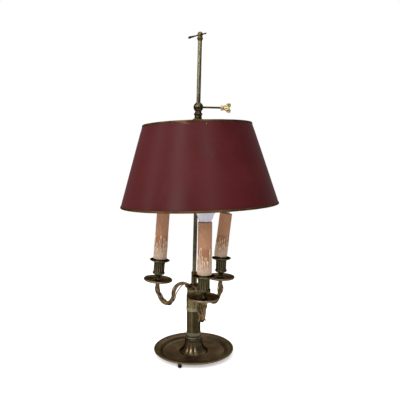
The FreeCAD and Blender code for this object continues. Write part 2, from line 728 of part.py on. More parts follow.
for name, (centre, lean_a, aside, lean_b, cell) in UNITS.items():
    A = lean_y(centre, lean_a)
    B = lean_y(A.multVec(V(aside, 0, dim("cup_seat") + 0.3)), lean_b)
    L = dim(cell)
    rho = math.hypot(centre.x, centre.y)
    d = V(centre.x / rho, centre.y / rho, 0)
    side = V(0, 0, 1).cross(d)
    lower = 154.3 - centre.z

    # branch: a bent casting that thickens from the crest to the pan
    pts, rads = [], []
    for r, h, q in LINE:
        pts.append(d * r + V(0, 0, h - lower * smooth((r - 27.0) / 24.0)))
        rads.append(q)
    for down in (13.0, 4.05):
        pts.append(A.multVec(V(0, 0, -down)))
        rads.append(4.4)
    curve = Part.BSplineCurve()
    curve.interpolate(pts)
    stations, total, fine, run = along(curve, 25)
    at_len = [0.0]
    for k in range(1, len(pts)):
        u = curve.parameter(pts[k])
        share = (u - curve.FirstParameter) / (curve.LastParameter - curve.FirstParameter)
        at_len.append(run[min(len(run) - 1, int(round(share * (len(run) - 1))))])

    def thick(length_at):
        for k in range(1, len(at_len)):
            if length_at <= at_len[k]:
                part = (length_at - at_len[k - 1]) / max(1e-6, at_len[k] - at_len[k - 1])
                return rads[k - 1] + (rads[k] - rads[k - 1]) * part
        return rads[-1]

    rings = []
    for k, (p, tan, want) in enumerate(stations):
        if k == len(stations) - 1:
            tan = A.Rotation.multVec(V(0, 0, 1))
        ring = doc.addObject("Part::Circle", "branch_%s_ring_%02d" % (name, k + 1))
        ring.Radius = thick(want)
        ring.Placement = FreeCAD.Placement(p, FreeCAD.Rotation(side, V(0, 0, 0), tan, "ZXY"))
        rings.append(ring)
    loft = doc.addObject("Part::Loft", "branch_%s_loft" % name)
    loft.Sections = rings
    loft.Solid = True
    loft.Ruled = False
    keep(loft, "branch_" + name)

    # two wires wound loosely round the branch, from the pan's boss to the
    # capital's mouth; on the left branch one strand bridges the crest's bend
    off = dim("wire_rad") + dim("wire_gap")
    steps = int(round(total / 5.2))
    stations, total, fine, run = along(curve, steps + 1)
    solids = []
    for strand in (0, 1):
        route = []
        sign = 1 if strand == 0 else -1
        for out, high in ((9.4, 131.0), (9.5, 137.4), (10.6, 143.4), (14.3, 148.2)):
            route.append(d * out + side * (4.6 * sign) + V(0, 0, high))
        for k, (p, tan, want) in enumerate(stations):
            u = want / total
            if want < 15.5 or k == len(stations) - 1:
                continue
            norm = side.cross(tan).normalize()
            turn = 90.0 - 650.0 * smooth((u - 0.05) / 1.15) if strand == 0 else -90.0 - 610.0 * smooth((u - 0.02) / 1.15)
            if name == "left" and strand == 0:
                # stay under the crest, cut its bend, then go on round
                turn = 90.0 - 90.0 * smooth((u - 0.10) / 0.09) - 560.0 * smooth((u - 0.36) / 0.9)
                if 31.0 < want < 51.0:
                    continue
            a = math.radians(turn)
            reach = thick(want) + off
            route.append(p + norm * (reach * math.cos(a)) + side * (reach * math.sin(a)))
        # the last point stops at the underside of the pan's boss
        p, tan, want = stations[-1]
        last = route[-1]
        tip = A.inverse().multVec(last)
        tip = V(tip.x, tip.y, -4.1)
        flat = math.hypot(tip.x, tip.y)
        if flat < 6.0:
            tip = V(tip.x * 6.0 / flat, tip.y * 6.0 / flat, tip.z)
        route.append(A.multVec(tip))
        if (route[-1] - route[-2]).Length < 3.0:
            del route[-2]
        solids.append(tube(route, dim("wire_rad"), "wire %s %d" % (name, strand + 1)))
    wires = doc.addObject("Part::Feature", "branch_wires_%s" % name)
    wires.Shape = Part.makeCompound(solids)
    keep(wires, "branch_wires_" + name)

    turned(
        "drip_pan_" + name,
        (("nipple_hole", 0), -4.0),
        [
            ("L", (("pan_boss", 0), -4.0)),
            ("L", (("pan_boss", 0), -2.3)),
            ("S", [(18.0, -2.6), (26.5, -2.1), (("pan_rad", -1.0), -1.1)]),
            ("A", (("pan_rad", 0), 0.9), (("pan_rad", -0.9), 2.9)),
            ("S", [(28.4, 1.5), (22.0, 0.0), (14.0, -0.4), (8.0, -0.4)]),
            ("L", (("nipple_hole", 0), -0.4)),
        ],
        A,
    )

    turned(
        "candle_cup_" + name,
        (("nipple_hole", 0), -0.38),
        [
            ("L", (5.4, -0.38)),
            ("A", (6.3, 0.9), (5.4, 2.2)),
            ("S", [(4.3, 3.6), (4.2, 5.5), (4.6, 8.0), (6.6, 10.6), (10.4, 12.6), (12.6, 13.8)]),
            ("A", (("cup_bead_rad", 0), 16.0), (12.6, 18.2)),
            ("L", (("cup_rad", 0), 18.9)),
            ("L", (("cup_rad", 0), 37.5)),
            ("S", [(12.6, 39.6), (15.6, 41.4), (19.0, 42.5), (("cup_lip_rad", -0.6), 43.7)]),
            ("A", (("cup_lip_rad", 0), 44.9), (("cup_lip_rad", -0.9), 45.6)),
            ("S", [(19.6, 44.4), (16.6, 43.4), (13.2, 43.2)]),
            ("L", (13.2, ("cup_seat", 0))),
            ("L", (10.6, ("cup_seat", 0))),
            ("L", (10.6, 16.4)),
            ("L", (("nipple_hole", 0), 16.4)),
        ],
        A,
    )

    turned(
        "candle_nipple_" + name,
        (("nipple_bore", 0), -4.0),
        [
            ("L", (("nipple_rad", 0), -4.0)),
            ("L", (("nipple_rad", 0), ("cup_seat", 0))),
            ("L", (("nipple_bore", 0), ("cup_seat", 0))),
        ],
        A,
    )

    gap = 14.0 * math.tan(math.radians(abs(lean_b - lean_a))) - 0.2
    gap = max(gap, 0.05)
    turned(
        "holder_bracket_" + name,
        (("nipple_bore", 0), 0.9),
        [
            ("L", (7.0, 0.9)),
            ("L", (7.0, 2.6)),
            ("L", (4.6, 2.6)),
            ("L", (4.6, (cell, -50.0))),
            ("L", (("nipple_bore", 0), (cell, -50.0))),
        ],
        B,
    )
    turned(
        "lamp_holder_" + name,
        (2.4, (cell, -50.0)),
        [
            ("L", (8.6, (cell, -50.0))),
            ("L", (("holder_rad", 0), (cell, -47.0))),
            ("L", (("holder_rad", 0), (cell, -6.0))),
            ("L", (("holder_cavity", 0), (cell, -6.0))),
            ("L", (("holder_cavity", 0), (cell, -34.0))),
            ("L", (2.4, (cell, -34.0))),
        ],
        B,
    )
    turned(
        "candle_sleeve_" + name,
        (("sleeve_bore", 0), gap),
        [
            ("L", (("sleeve_rad", 0), gap)),
            ("L", (("sleeve_rad", 0), (cell, -0.6))),
            ("L", (("sleeve_rad", -0.6), (cell, 0))),
            ("L", (("sleeve_bore", 0), (cell, 0))),
        ],
        B,
    )
    turned(
        "bulb_cap_" + name,
        (0, (cell, -33.6)),
        [
            ("L", (3.2, (cell, -33.6))),
            ("L", (3.6, (cell, -31.8))),
            ("L", (("cap_rad", 0), (cell, -30.4))),
            ("L", (("cap_rad", 0), (cell, -11.0))),
            ("L", (0, (cell, -11.0))),
        ],
        B,
    )
    if name == "right":
        # slim candle bulb
        glass = [
            ("L", (6.9, (cell, -11.0))),
            ("S", [(7.1, L - 5.0), (7.7, L + 1.0), (9.8, L + 9.0), (14.4, L + 19.0), (17.3, L + 29.0),
                   (16.3, L + 40.0), (12.0, L + 51.0), (6.6, L + 60.5), (2.4, (cell, 66.2))]),
            ("L", (1.2, (cell, 67.4))),
            ("L", (0, (cell, 67.8))),
        ]
    else:
        # opal globe bulb, the globe's centre on the axis
        globe, dip = dim("globe_rad"), math.radians(28.35)
        glass = [
            ("L", (6.9, (cell, -11.0))),
            ("S", [(7.1, L - 8.4), (7.35, L - 5.7), (10.0, L - 2.4), (11.9, L + 0.8), (13.5, L + 5.0),
                   (15.4, L + 10.0), (17.6, L + 15.2), (globe * math.cos(dip), (cell, 30.7 - globe * math.sin(dip)))]),
            ("A", (globe * math.cos(0.5), L + 30.7 + globe * math.sin(0.5)), (0, (cell, 30.7 + globe))),
        ]
    turned("bulb_" + name, (0, (cell, -10.98)), glass, B)

# ---------------------------------------------------------------- cord bush
# a tapered bush under the rim at the front left, with a blind bore for the lead
start = V(-30.6, -60.5, 2.7)
finish = V(-26.2, -82.0, 4.7)
aim = finish - start
span = aim.Length
turned(
    "cord_bush",
    (0, 0),
    [
        ("L", (1.35, 0)),
        ("S", [(1.9, 4.0), (2.6, 9.0), (3.5, 14.0), (4.3, 17.8)]),
        ("A", (4.5, 20.0), (3.6, span)),
        ("L", (2.5, span)),
        ("L", (2.5, span - 12.0)),
        ("L", (0, span - 12.0)),
    ],
    FreeCAD.Placement(start, FreeCAD.Rotation(V(0, 0, 1), aim)),
)

# ---------------------------------------------------------------- checks, output
doc.recompute()
bad = []
for obj in doc.Objects:
    if any(word in obj.State for word in ("Invalid", "Error")):
        bad.append("%s is %s" % (obj.Name, obj.State))
names = set()
for obj in PARTS:
    shape = obj.Shape
    if shape.isNull() or not shape.isValid():
        bad.append("%s has no valid shape" % obj.Label)
    elif not shape.Solids or shape.Volume < 1.0:
        bad.append("%s has no solid" % obj.Label)
    if obj.Label in names:
        bad.append("%s is named twice" % obj.Label)
    names.add(obj.Label)
if bad:
    print("\n".join(bad))
    sys.exit(1)

os.makedirs("parts", exist_ok=True)
for old in os.listdir("parts"):
    if old.endswith(".step") and old[:-5] not in names:
        os.remove(os.path.join("parts", old))
for obj in PARTS:
    obj.Shape.exportStep("parts/%s.step" % obj.Label)
print(len(PARTS), "sub-parts written")
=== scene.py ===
import math
import random

import bmesh
import bpy
import numpy as np
from mathutils import Matrix, Vector
from mathutils.geometry import delaunay_2d_cdt


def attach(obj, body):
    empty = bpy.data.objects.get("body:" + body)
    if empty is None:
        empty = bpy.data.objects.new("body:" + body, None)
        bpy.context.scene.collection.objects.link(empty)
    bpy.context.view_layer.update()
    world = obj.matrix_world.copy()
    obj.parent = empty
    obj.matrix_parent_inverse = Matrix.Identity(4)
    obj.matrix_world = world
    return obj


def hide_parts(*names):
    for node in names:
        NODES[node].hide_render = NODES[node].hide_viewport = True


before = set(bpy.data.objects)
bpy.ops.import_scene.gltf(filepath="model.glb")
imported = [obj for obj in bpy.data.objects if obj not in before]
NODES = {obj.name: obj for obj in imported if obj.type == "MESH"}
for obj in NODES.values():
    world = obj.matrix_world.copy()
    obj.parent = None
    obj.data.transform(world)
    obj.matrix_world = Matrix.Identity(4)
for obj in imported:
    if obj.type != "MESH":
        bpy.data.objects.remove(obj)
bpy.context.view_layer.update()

# Bouillotte table lamp. Lengths below are millimetres and become metres when a
# mesh is made. +Z is up, +X is to the right of the front view, -Y is the front.
MM = 0.001


def lean_y(pos, deg):
    return Matrix.Translation(Vector(pos)) @ Matrix.Rotation(math.radians(deg), 4, "Y")


ROD = lean_y((0, 0, 115.0), 1.45)
SHADE = lean_y((13.1, 0, 322.7), -1.75)
SEAT = 47.8
UNITS = {
    # pan centre, lean of pan and cup, lean of candle, sleeve length, seed
    "left": ((-78.6, 23.8, 154.3), 5.4, 4.6, 101.0, 11),
    "right": ((61.0, 55.5, 151.7), 1.5, 7.0, 99.0, 23),
    "front": ((21.6, -79.3, 144.2), 0.0, 0.8, 104.0, 37),
}
# how far each candle stands off its cup's middle
ASIDE = {"left": 0.0, "right": -1.9, "front": 1.0}
FRAMES = {}
for name, (centre, lean_a, lean_b, length, seed) in UNITS.items():
    A = lean_y(centre, lean_a)
    B = lean_y(A @ Vector((ASIDE[name], 0, SEAT + 0.3)), lean_b)
    FRAMES[name] = (A, B)


# ------------------------------------------------------------ profile helpers
def spline(pts, step):
    """Natural cubic curve through points, by chord length."""
    P = np.array(pts, float)
    h = np.linalg.norm(np.diff(P, axis=0), axis=1)
    t = np.concatenate([[0], np.cumsum(h)])
    n = len(P)
    M = np.zeros((n, n))
    rhs = np.zeros((n, P.shape[1]))
    M[0, 0] = M[-1, -1] = 1
    for i in range(1, n - 1):
        M[i, i - 1], M[i, i], M[i, i + 1] = h[i - 1], 2 * (h[i - 1] + h[i]), h[i]
        rhs[i] = 6 * ((P[i + 1] - P[i]) / h[i] - (P[i] - P[i - 1]) / h[i - 1])
    m = np.linalg.solve(M, rhs)
    count = max(2, int(math.ceil(t[-1] / step)) + 1)
    q = np.linspace(0, t[-1], count)
    k = np.clip(np.searchsorted(t, q, side="right") - 1, 0, n - 2)
    a, b, hk = (t[k + 1] - q)[:, None], (q - t[k])[:, None], h[k][:, None]
    return (m[k] * a**3 + m[k + 1] * b**3) / (6 * hk) + (P[k] / hk - m[k] * hk / 6) * a + (P[k + 1] / hk - m[k + 1] * hk / 6) * b


def arc(p0, p1, p2, step):
    """Circular arc through three points."""
    (ax, ay), (bx, by), (cx, cy) = p0, p1, p2
    d = 2 * (ax * (by - cy) + bx * (cy - ay) + cx * (ay - by))
    ux = ((ax**2 + ay**2) * (by - cy) + (bx**2 + by**2) * (cy - ay) + (cx**2 + cy**2) * (ay - by)) / d
    uy = ((ax**2 + ay**2) * (cx - bx) + (bx**2 + by**2) * (ax - cx) + (cx**2 + cy**2) * (bx - ax)) / d
    r = math.hypot(ax - ux, ay - uy)
    t0, t1, t2 = (math.atan2(y - uy, x - ux) for x, y in (p0, p1, p2))
    turn = (t2 - t0) % (2 * math.pi)
    if (t1 - t0) % (2 * math.pi) > turn:
        turn -= 2 * math.pi
    count = max(4, int(math.ceil(abs(turn) * r / step)) + 1)
    return np.array([(ux + r * math.cos(t0 + turn * k / (count - 1)), uy + r * math.sin(t0 + turn * k / (count - 1))) for k in range(count)])


def trace(start, segs, step=0.5):
    """Profile of lines ("L", p), arcs ("A", mid, p) and curves ("S", [p, ...])."""
    out = [np.array([start], float)]
    here = start
    for seg in segs:
        if seg[0] == "L":
            d = math.dist(here, seg[1])
            grain = seg[2] if len(seg) > 2 else max(step, 4.0)
            count = max(2, int(math.ceil(d / grain)) + 1)
            run = np.linspace(here, seg[1], count)
            here = seg[1]
        elif seg[0] == "A":
            run = arc(here, seg[1], seg[2], step * 0.7)
            here = seg[2]
        else:
            run = spline([here] + list(seg[1]), step)
            here = seg[1][-1]
        out.append(run[1:])
    return np.concatenate(out)


def smooth(t):
    t = np.clip(t, 0.0, 1.0)
    return t * t * (3 - 2 * t)


# --------------------------------------------------------------- mesh helpers
def make(name, verts, faces, attrs=None, face_mats=None, sharp=38.0, recalc=True):
    """Object from points in millimetres, smooth shaded, split at sharp edges."""
    mesh = bpy.data.meshes.new(name)
    mesh.from_pydata((np.asarray(verts) * MM).tolist(), [], faces)
    if attrs:
        for key, data in attrs.items():
            layer = mesh.attributes.new(key, "FLOAT", "POINT")
            layer.data.foreach_set("value", np.asarray(data, np.float32).ravel())
    if face_mats is not None:
        mesh.polygons.foreach_set("material_index", np.asarray(face_mats, np.int32))
    if recalc:
        bm = bmesh.new()
        bm.from_mesh(mesh)
        bmesh.ops.recalc_face_normals(bm, faces=bm.faces)
        bm.to_mesh(mesh)
        bm.free()
    mesh.polygons.foreach_set("use_smooth", np.ones(len(mesh.polygons), bool))
    mesh.set_sharp_from_angle(angle=math.radians(sharp))
    mesh.update()
    obj = bpy.data.objects.new(name, mesh)
    bpy.context.scene.collection.objects.link(obj)
    return obj


def place_points(place, pts):
    M = np.array(place)
    return pts @ M[:3, :3].T + M[:3, 3]


def lathe(name, prof, place=None, seg=128, shape=None, sharp=38.0, mat_of=None):
    """Surface turned about Z. shape(R, Z, A) may change radius and height, and
    returns them with a dict of point attributes."""
    place = place or Matrix()
    prof = np.array(prof, float)
    closed = np.allclose(prof[0], prof[-1])
    if closed:
        prof = prof[:-1]
    k = len(prof)
    ang = np.arange(seg) * 2 * math.pi / seg
    R, Z = np.repeat(prof[:, :1], seg, 1), np.repeat(prof[:, 1:], seg, 1)
    A = np.repeat(ang[None, :], k, 0)
    extra = {}
    pole = prof[:, 0] < 1e-6
    X = None
    if shape:
        got = shape(R.copy(), Z.copy(), A)
        if len(got) == 4:
            X, Y, Z, extra = got
        else:
            R, Z, extra = got
    if X is None:
        X, Y = R * np.cos(A), R * np.sin(A)
    index = np.zeros((k, seg), int)
    keep = []
    n = 0
    for i in range(k):
        if pole[i]:
            index[i, :] = n
            keep.append(i * seg)
            n += 1
        else:
            index[i, :] = np.arange(n, n + seg)
            keep.extend(range(i * seg, (i + 1) * seg))
            n += seg
    keep = np.array(keep)
    pts = np.stack([X.ravel(), Y.ravel(), Z.ravel()], 1)[keep]
    for i in np.nonzero(pole)[0]:
        pts[index[i, 0], :2] = 0
    attrs = {key: np.asarray(v).ravel()[keep] for key, v in extra.items()}
    faces, mats = [], []
    for i in range(k if closed else k - 1):
        j = (i + 1) % k
        if pole[i] and pole[j]:
            continue
        a, b = index[i], index[j]
        a2, b2 = np.roll(a, -1), np.roll(b, -1)
        m = mat_of(i) if mat_of else 0
        if pole[i]:
            faces += [(int(x), int(z), int(y)) for x, y, z in zip(a, b, b2)]
        elif pole[j]:
            faces += [(int(x), int(y), int(z)) for x, y, z in zip(a, a2, b)]
        else:
            faces += np.stack([a, a2, b2, b], 1).tolist()
        mats += [m] * seg
    return make(name, place_points(place, pts), faces, attrs, mats, sharp)


def frames_along(path):
    """Tangents and turning-free side vectors along a line of points."""
    P = np.asarray(path, float)
    T = np.gradient(P, axis=0)
    T /= np.linalg.norm(T, axis=1)[:, None]
    ref = np.array([0, 0, 1.0]) if abs(T[0, 2]) < 0.9 else np.array([1.0, 0, 0])
    u = np.cross(T[0], ref)
    u /= np.linalg.norm(u)
    U = [u]
    for i in range(1, len(P)):
        u = U[-1] - T[i] * (U[-1] @ T[i])
        U.append(u / np.linalg.norm(u))
    U = np.array(U)
    return P, T, U, np.cross(T, U)


def sweep(name, path, radius, seg=16, shape=None, sharp=50.0):
    """Round section carried along a path, with domed ends. shape(R, S, A) may
    change the radius, S being the length so far."""
    P, T, U, W = frames_along(path)
    n = len(P)
    S = np.concatenate([[0], np.cumsum(np.linalg.norm(np.diff(P, axis=0), axis=1))])
    ang = np.arange(seg) * 2 * math.pi / seg
    R = np.repeat((np.ones(n) * radius)[:, None], seg, 1)
    A = np.repeat(ang[None, :], n, 0)
    SS = np.repeat(S[:, None], seg, 1)
    extra = {}
    if shape:
        R, extra = shape(R, SS, A)
    pts = P[:, None, :] + U[:, None, :] * (R * np.cos(A))[:, :, None] + W[:, None, :] * (R * np.sin(A))[:, :, None]
    pts = pts.reshape(-1, 3)
    tip = 0.35 * float(np.mean(R[0]))
    ends = np.array([P[0] - T[0] * tip, P[-1] + T[-1] * tip])
    verts = np.concatenate([pts, ends])
    idx = np.arange(n * seg).reshape(n, seg)
    faces = []
    for i in range(n - 1):
        a, b = idx[i], idx[i + 1]
        faces += np.stack([a, np.roll(a, -1), np.roll(b, -1), b], 1).tolist()
    for k in range(seg):
        faces.append((n * seg, int(idx[0, (k + 1) % seg]), int(idx[0, k])))
        faces.append((n * seg + 1, int(idx[-1, k]), int(idx[-1, (k + 1) % seg])))
    attrs = {}
    for key, v in extra.items():
        v = np.asarray(v).ravel()
        attrs[key] = np.concatenate([v, [v[0], v[-1]]])
    return make(name, verts, faces, attrs, None, sharp)


def joined(name, objs):
    """One piece from several meshes."""
    bm = bmesh.new()
    for o in objs:
        bm.from_mesh(o.data)
    mesh = bpy.data.meshes.new(name)
    bm.to_mesh(mesh)
    bm.free()
    for o in objs:
        bpy.data.objects.remove(o)
    mesh.polygons.foreach_set("use_smooth", np.ones(len(mesh.polygons), bool))
    mesh.set_sharp_from_angle(angle=math.radians(40))
    obj = bpy.data.objects.new(name, mesh)
    bpy.context.scene.collection.objects.link(obj)
    return obj


# ----------------------------------------------------------- material helpers
def rgb(r, g, b):
    """Linear colour from screen values."""
    out = []
    for c in (r, g, b):
        c /= 255.0
        out.append(c / 12.92 if c <= 0.04045 else ((c + 0.055) / 1.055) ** 2.4)
    return (*out, 1.0)


class Mat:
    """A procedural material on the surface's own coordinates."""

    def __init__(self, name):
        self.m = bpy.data.materials.new(name)
        self.m.use_nodes = True
        self.nt = self.m.node_tree
        self.nt.nodes.clear()
        self.out = self.nt.nodes.new("ShaderNodeOutputMaterial")
        self.b = self.nt.nodes.new("ShaderNodeBsdfPrincipled")
        self.nt.links.new(self.b.outputs[0], self.out.inputs[0])
        self.pos = self.nt.nodes.new("ShaderNodeTexCoord").outputs["Object"]

    def put(self, socket, value):
        if isinstance(value, bpy.types.NodeSocket):
            self.nt.links.new(value, socket)
        elif value is not None:
            socket.default_value = value

    def set(self, **kw):
        for key, v in kw.items():
            self.put(self.b.inputs[key.replace("_", " ")], v)
        return self

    def math(self, op, a, b=None, c=None, clamp=False):
        n = self.nt.nodes.new("ShaderNodeMath")
        n.operation, n.use_clamp = op, clamp
        for s, v in zip(n.inputs, (a, b, c)):
            self.put(s, v)
        return n.outputs[0]

    def stretch(self, x, y, z, coord=None):
        n = self.nt.nodes.new("ShaderNodeMapping")
        self.put(n.inputs["Vector"], coord or self.pos)
        n.inputs["Scale"].default_value = (x, y, z)
        return n.outputs[0]

    def noise(self, scale, detail=4.0, rough=0.55, coord=None, distort=0.0):
        n = self.nt.nodes.new("ShaderNodeTexNoise")
        self.put(n.inputs["Vector"], coord or self.pos)
        n.inputs["Scale"].default_value = scale
        n.inputs["Detail"].default_value = detail
        n.inputs["Roughness"].default_value = rough
        n.inputs["Distortion"].default_value = distort
        return n.outputs["Fac"]

    def cells(self, scale, coord=None, feature="F1"):
        n = self.nt.nodes.new("ShaderNodeTexVoronoi")
        n.feature = feature
        self.put(n.inputs["Vector"], coord or self.pos)
        n.inputs["Scale"].default_value = scale
        return n.outputs["Distance"]

    def ramp(self, fac, stops):
        n = self.nt.nodes.new("ShaderNodeValToRGB")
        self.put(n.inputs[0], fac)
        e = n.color_ramp.elements
        while len(e) < len(stops):
            e.new(0.5)
        for s, (p, c) in zip(e, stops):
            s.position, s.color = p, c
        return n.outputs[0]

    def span(self, fac, a, b, lo=0.0, hi=1.0, soft=True):
        n = self.nt.nodes.new("ShaderNodeMapRange")
        n.interpolation_type = "SMOOTHSTEP" if soft else "LINEAR"
        for s, v in zip(n.inputs, (fac, a, b, lo, hi)):
            self.put(s, v)
        return n.outputs[0]

    def mix(self, fac, a, b, blend="MIX"):
        n = self.nt.nodes.new("ShaderNodeMix")
        n.data_type, n.blend_type = "RGBA", blend
        self.put(n.inputs[0], fac)
        self.put(n.inputs[6], a)
        self.put(n.inputs[7], b)
        return n.outputs[2]

    def attr(self, name):
        n = self.nt.nodes.new("ShaderNodeAttribute")
        n.attribute_name = name
        return n.outputs["Fac"]

    def axes(self, coord=None):
        n = self.nt.nodes.new("ShaderNodeSeparateXYZ")
        self.put(n.inputs[0], coord or self.pos)
        return n.outputs

    def radial(self, x=0.0, y=0.0):
        """Distance in metres from a vertical line through (x, y)."""
        s = self.axes()
        dx, dy = self.math("SUBTRACT", s[0], x), self.math("SUBTRACT", s[1], y)
        return self.math("SQRT", self.math("ADD", self.math("MULTIPLY", dx, dx), self.math("MULTIPLY", dy, dy)))

    def vector(self, x, y, z):
        n = self.nt.nodes.new("ShaderNodeCombineXYZ")
        for s, v in zip(n.inputs, (x, y, z)):
            self.put(s, v)
        return n.outputs[0]

    def bump(self, height, distance, strength=1.0, normal=None):
        n = self.nt.nodes.new("ShaderNodeBump")
        n.inputs["Strength"].default_value = strength
        n.inputs["Distance"].default_value = distance
        self.put(n.inputs["Height"], height)
        if normal is not None:
            self.put(n.inputs["Normal"], normal)
        return n.outputs[0]

    # occlusion darkening, used as painted shade in crevices
    def crevice_shade(self, distance):
        n = self.nt.nodes.new("ShaderNodeAmbientOcclusion")
        n.samples, n.only_local = 8, True
        n.inputs["Distance"].default_value = distance
        return n.outputs["AO"]


def patina(name, dark, mid, light, rough=(0.24, 0.42), patch=38.0, tint=(0.25, 0.22, 0.16, 1.0), aniso=0.0, marks="none", centre=(0.0, 0.0), depth=1.0, crevice_shade=0.0, metal=1.0, spots=0.0):
    """Aged brass: cloudy patina, fine speckle, polish on ridges, tarnish and
    painted shade in hollows, and the marks that making it left."""
    t = Mat(name)
    cloud = t.noise(patch, 5.0, 0.6, distort=0.4)
    fine = t.noise(patch * 14, 3.0, 0.6)
    blend = t.math("ADD", t.math("MULTIPLY", cloud, 0.75), t.math("MULTIPLY", fine, 0.25))
    col = t.ramp(blend, [(0.36, dark), (0.52, mid), (0.70, light)])
    wear = t.attr("wear")
    # the attribute lightens ridges with polish and, below zero, darkens hollows with tarnish and painted shade
    up = t.math("MAXIMUM", wear, 0.0)
    down = t.math("MAXIMUM", t.math("MULTIPLY", wear, -1.0), 0.0)
    col = t.mix(t.math("MULTIPLY", up, 0.75, clamp=True), col, tuple(min(1.0, c * 1.6) for c in light[:3]) + (1.0,))
    col = t.mix(t.math("MULTIPLY", down, 0.8, clamp=True), col, tuple(c * 0.45 for c in dark[:3]) + (1.0,))
    # painted shade: an occlusion node darkens crevices, also standing for patina there
    if crevice_shade:
        ao = t.crevice_shade(crevice_shade)
        col = t.mix(t.span(ao, 0.35, 0.85, 0.75, 0.0), col, tuple(c * 0.5 for c in dark[:3]) + (1.0,))
    r = t.span(cloud, 0.3, 0.7, rough[0], rough[1])
    r = t.math("ADD", r, t.math("MULTIPLY", down, 0.2))
    if spots:
        s = t.span(t.cells(260.0), 0.0, 0.16, 1.0, 0.0)
        s = t.math("MULTIPLY", s, t.span(t.noise(90.0, 2.0), 0.5, 0.62))
        col = t.mix(t.math("MULTIPLY", s, spots), col, tuple(c * 0.35 for c in dark[:3]) + (1.0,))
        r = t.math("ADD", r, t.math("MULTIPLY", s, 0.2 * spots))
    h = t.noise(patch * 22, 3.0, 0.6)
    if marks == "turned":
        # rings left by the lathe tool
        ring = t.noise(1.0, 3.0, 0.7, coord=t.vector(t.math("MULTIPLY", t.radial(*centre), 2600.0), t.math("MULTIPLY", t.axes()[2], 2600.0), 0.0))
        h = t.math("ADD", t.math("MULTIPLY", h, 0.4), t.math("MULTIPLY", ring, 0.6))
    elif marks == "drawn":
        # long scratches of a drawn tube or rod
        line = t.noise(1400.0, 3.0, 0.6, coord=t.stretch(1, 1, 0.02))
        h = t.math("ADD", t.math("MULTIPLY", h, 0.4), t.math("MULTIPLY", line, 0.6))
    elif marks == "cast":
        h = t.math("ADD", t.math("MULTIPLY", h, 0.5), t.math("MULTIPLY", t.noise(260.0, 4.0, 0.6), 1.2))
    t.set(Base_Color=col, Roughness=r, Metallic=metal, Normal=t.bump(h, 0.00006 * depth, 0.6))
    t.b.inputs["Specular Tint"].default_value = tint
    if aniso:
        # highlights run along the length of the tube, not round it
        t.b.inputs["Anisotropic"].default_value = aniso
        t.b.inputs["Anisotropic Rotation"].default_value = 0.25
        tan = t.nt.nodes.new("ShaderNodeTangent")
        tan.direction_type, tan.axis = "RADIAL", "Z"
        t.put(t.b.inputs["Tangent"], tan.outputs[0])
    return t.m


M = {}
M["dish"] = patina("patina_dish", rgb(78, 65, 49), rgb(92, 78, 60), rgb(114, 100, 79), (0.44, 0.56), 26, marks="turned", depth=0.8, crevice_shade=0.0, spots=0.6)
M["bell"] = patina("patina_bell", rgb(74, 62, 46), rgb(92, 79, 60), rgb(116, 102, 78), (0.23, 0.30), 34, marks="turned", depth=0.6, crevice_shade=0.002, aniso=0.9)
M["collar_ring"] = patina("patina_ring", rgb(92, 87, 70), rgb(112, 106, 88), rgb(132, 124, 102), (0.34, 0.46), 60, marks="turned", depth=0.8, crevice_shade=0.0015)
M["stem"] = patina("patina_stem", rgb(72, 64, 42), rgb(90, 80, 54), rgb(112, 100, 68), (0.46, 0.54), 44, marks="drawn", depth=0.6, aniso=1.0)
M["band"] = patina("patina_band", rgb(112, 108, 92), rgb(134, 128, 108), rgb(150, 142, 120), (0.42, 0.58), 90, marks="cast", depth=1.2)
M["capital"] = patina("patina_capital", rgb(66, 58, 38), rgb(86, 76, 52), rgb(116, 104, 74), (0.16, 0.30), 44, marks="turned", depth=0.6, crevice_shade=0.002)
M["hub"] = patina("patina_hub", rgb(60, 50, 32), rgb(80, 68, 44), rgb(100, 88, 60), (0.3, 0.45), 60, marks="turned")
M["rod"] = patina("patina_rod", rgb(86, 80, 62), rgb(104, 98, 76), rgb(126, 116, 90), (0.24, 0.38), 30, marks="drawn", depth=0.8)
M["rod_end"] = patina("patina_rod_end", rgb(72, 64, 38), rgb(92, 82, 52), rgb(116, 102, 68), (0.24, 0.38), 60, marks="turned", crevice_shade=0.0015)
M["collar"] = patina("patina_collar", rgb(54, 48, 34), rgb(70, 62, 46), rgb(98, 88, 66), (0.16, 0.28), 60, marks="turned", depth=0.6, crevice_shade=0.002)
M["screw"] = patina("patina_screw", rgb(58, 46, 18), rgb(76, 60, 26), rgb(98, 80, 40), (0.28, 0.42), 80, marks="drawn")
M["key"] = patina("patina_key", rgb(150, 132, 94), rgb(176, 158, 116), rgb(200, 184, 142), (0.34, 0.48), 90, marks="cast", depth=1.5, crevice_shade=0.0012, tint=(0.6, 0.55, 0.45, 1.0))
M["arrow"] = patina("patina_arrow", rgb(44, 32, 16), rgb(60, 46, 28), rgb(88, 68, 44), (0.3, 0.45), 80, marks="cast", depth=1.2)
M["branch"] = patina("patina_branch", rgb(80, 63, 38), rgb(106, 85, 54), rgb(132, 108, 72), (0.28, 0.42), 60, marks="cast", depth=1.0, spots=0.5)
M["pan"] = patina("patina_pan", rgb(76, 63, 48), rgb(92, 78, 61), rgb(116, 103, 84), (0.32, 0.46), 50, marks="none", depth=0.8, spots=0.5)
M["cup"] = patina("patina_cup", rgb(56, 52, 36), rgb(76, 70, 50), rgb(110, 101, 74), (0.34, 0.44), 60, marks="none", depth=0.6, crevice_shade=0.0012, aniso=1.0)
M["trim"] = patina("patina_trim", rgb(64, 48, 28), rgb(84, 64, 38), rgb(104, 82, 52), (0.42, 0.56), 60, marks="cast", depth=1.0, spots=0.8, tint=(0.4, 0.36, 0.28, 1.0))
M["steel"] = patina("zinc_plate", rgb(150, 148, 138), rgb(176, 174, 166), rgb(200, 198, 190), (0.3, 0.5), 120, tint=(1, 1, 1, 1), marks="turned", depth=1.0)
M["nickel"] = patina("nickel_cap", rgb(160, 156, 146), rgb(186, 182, 170), rgb(206, 202, 192), (0.25, 0.4), 140, tint=(1, 1, 1, 1), depth=1.0)


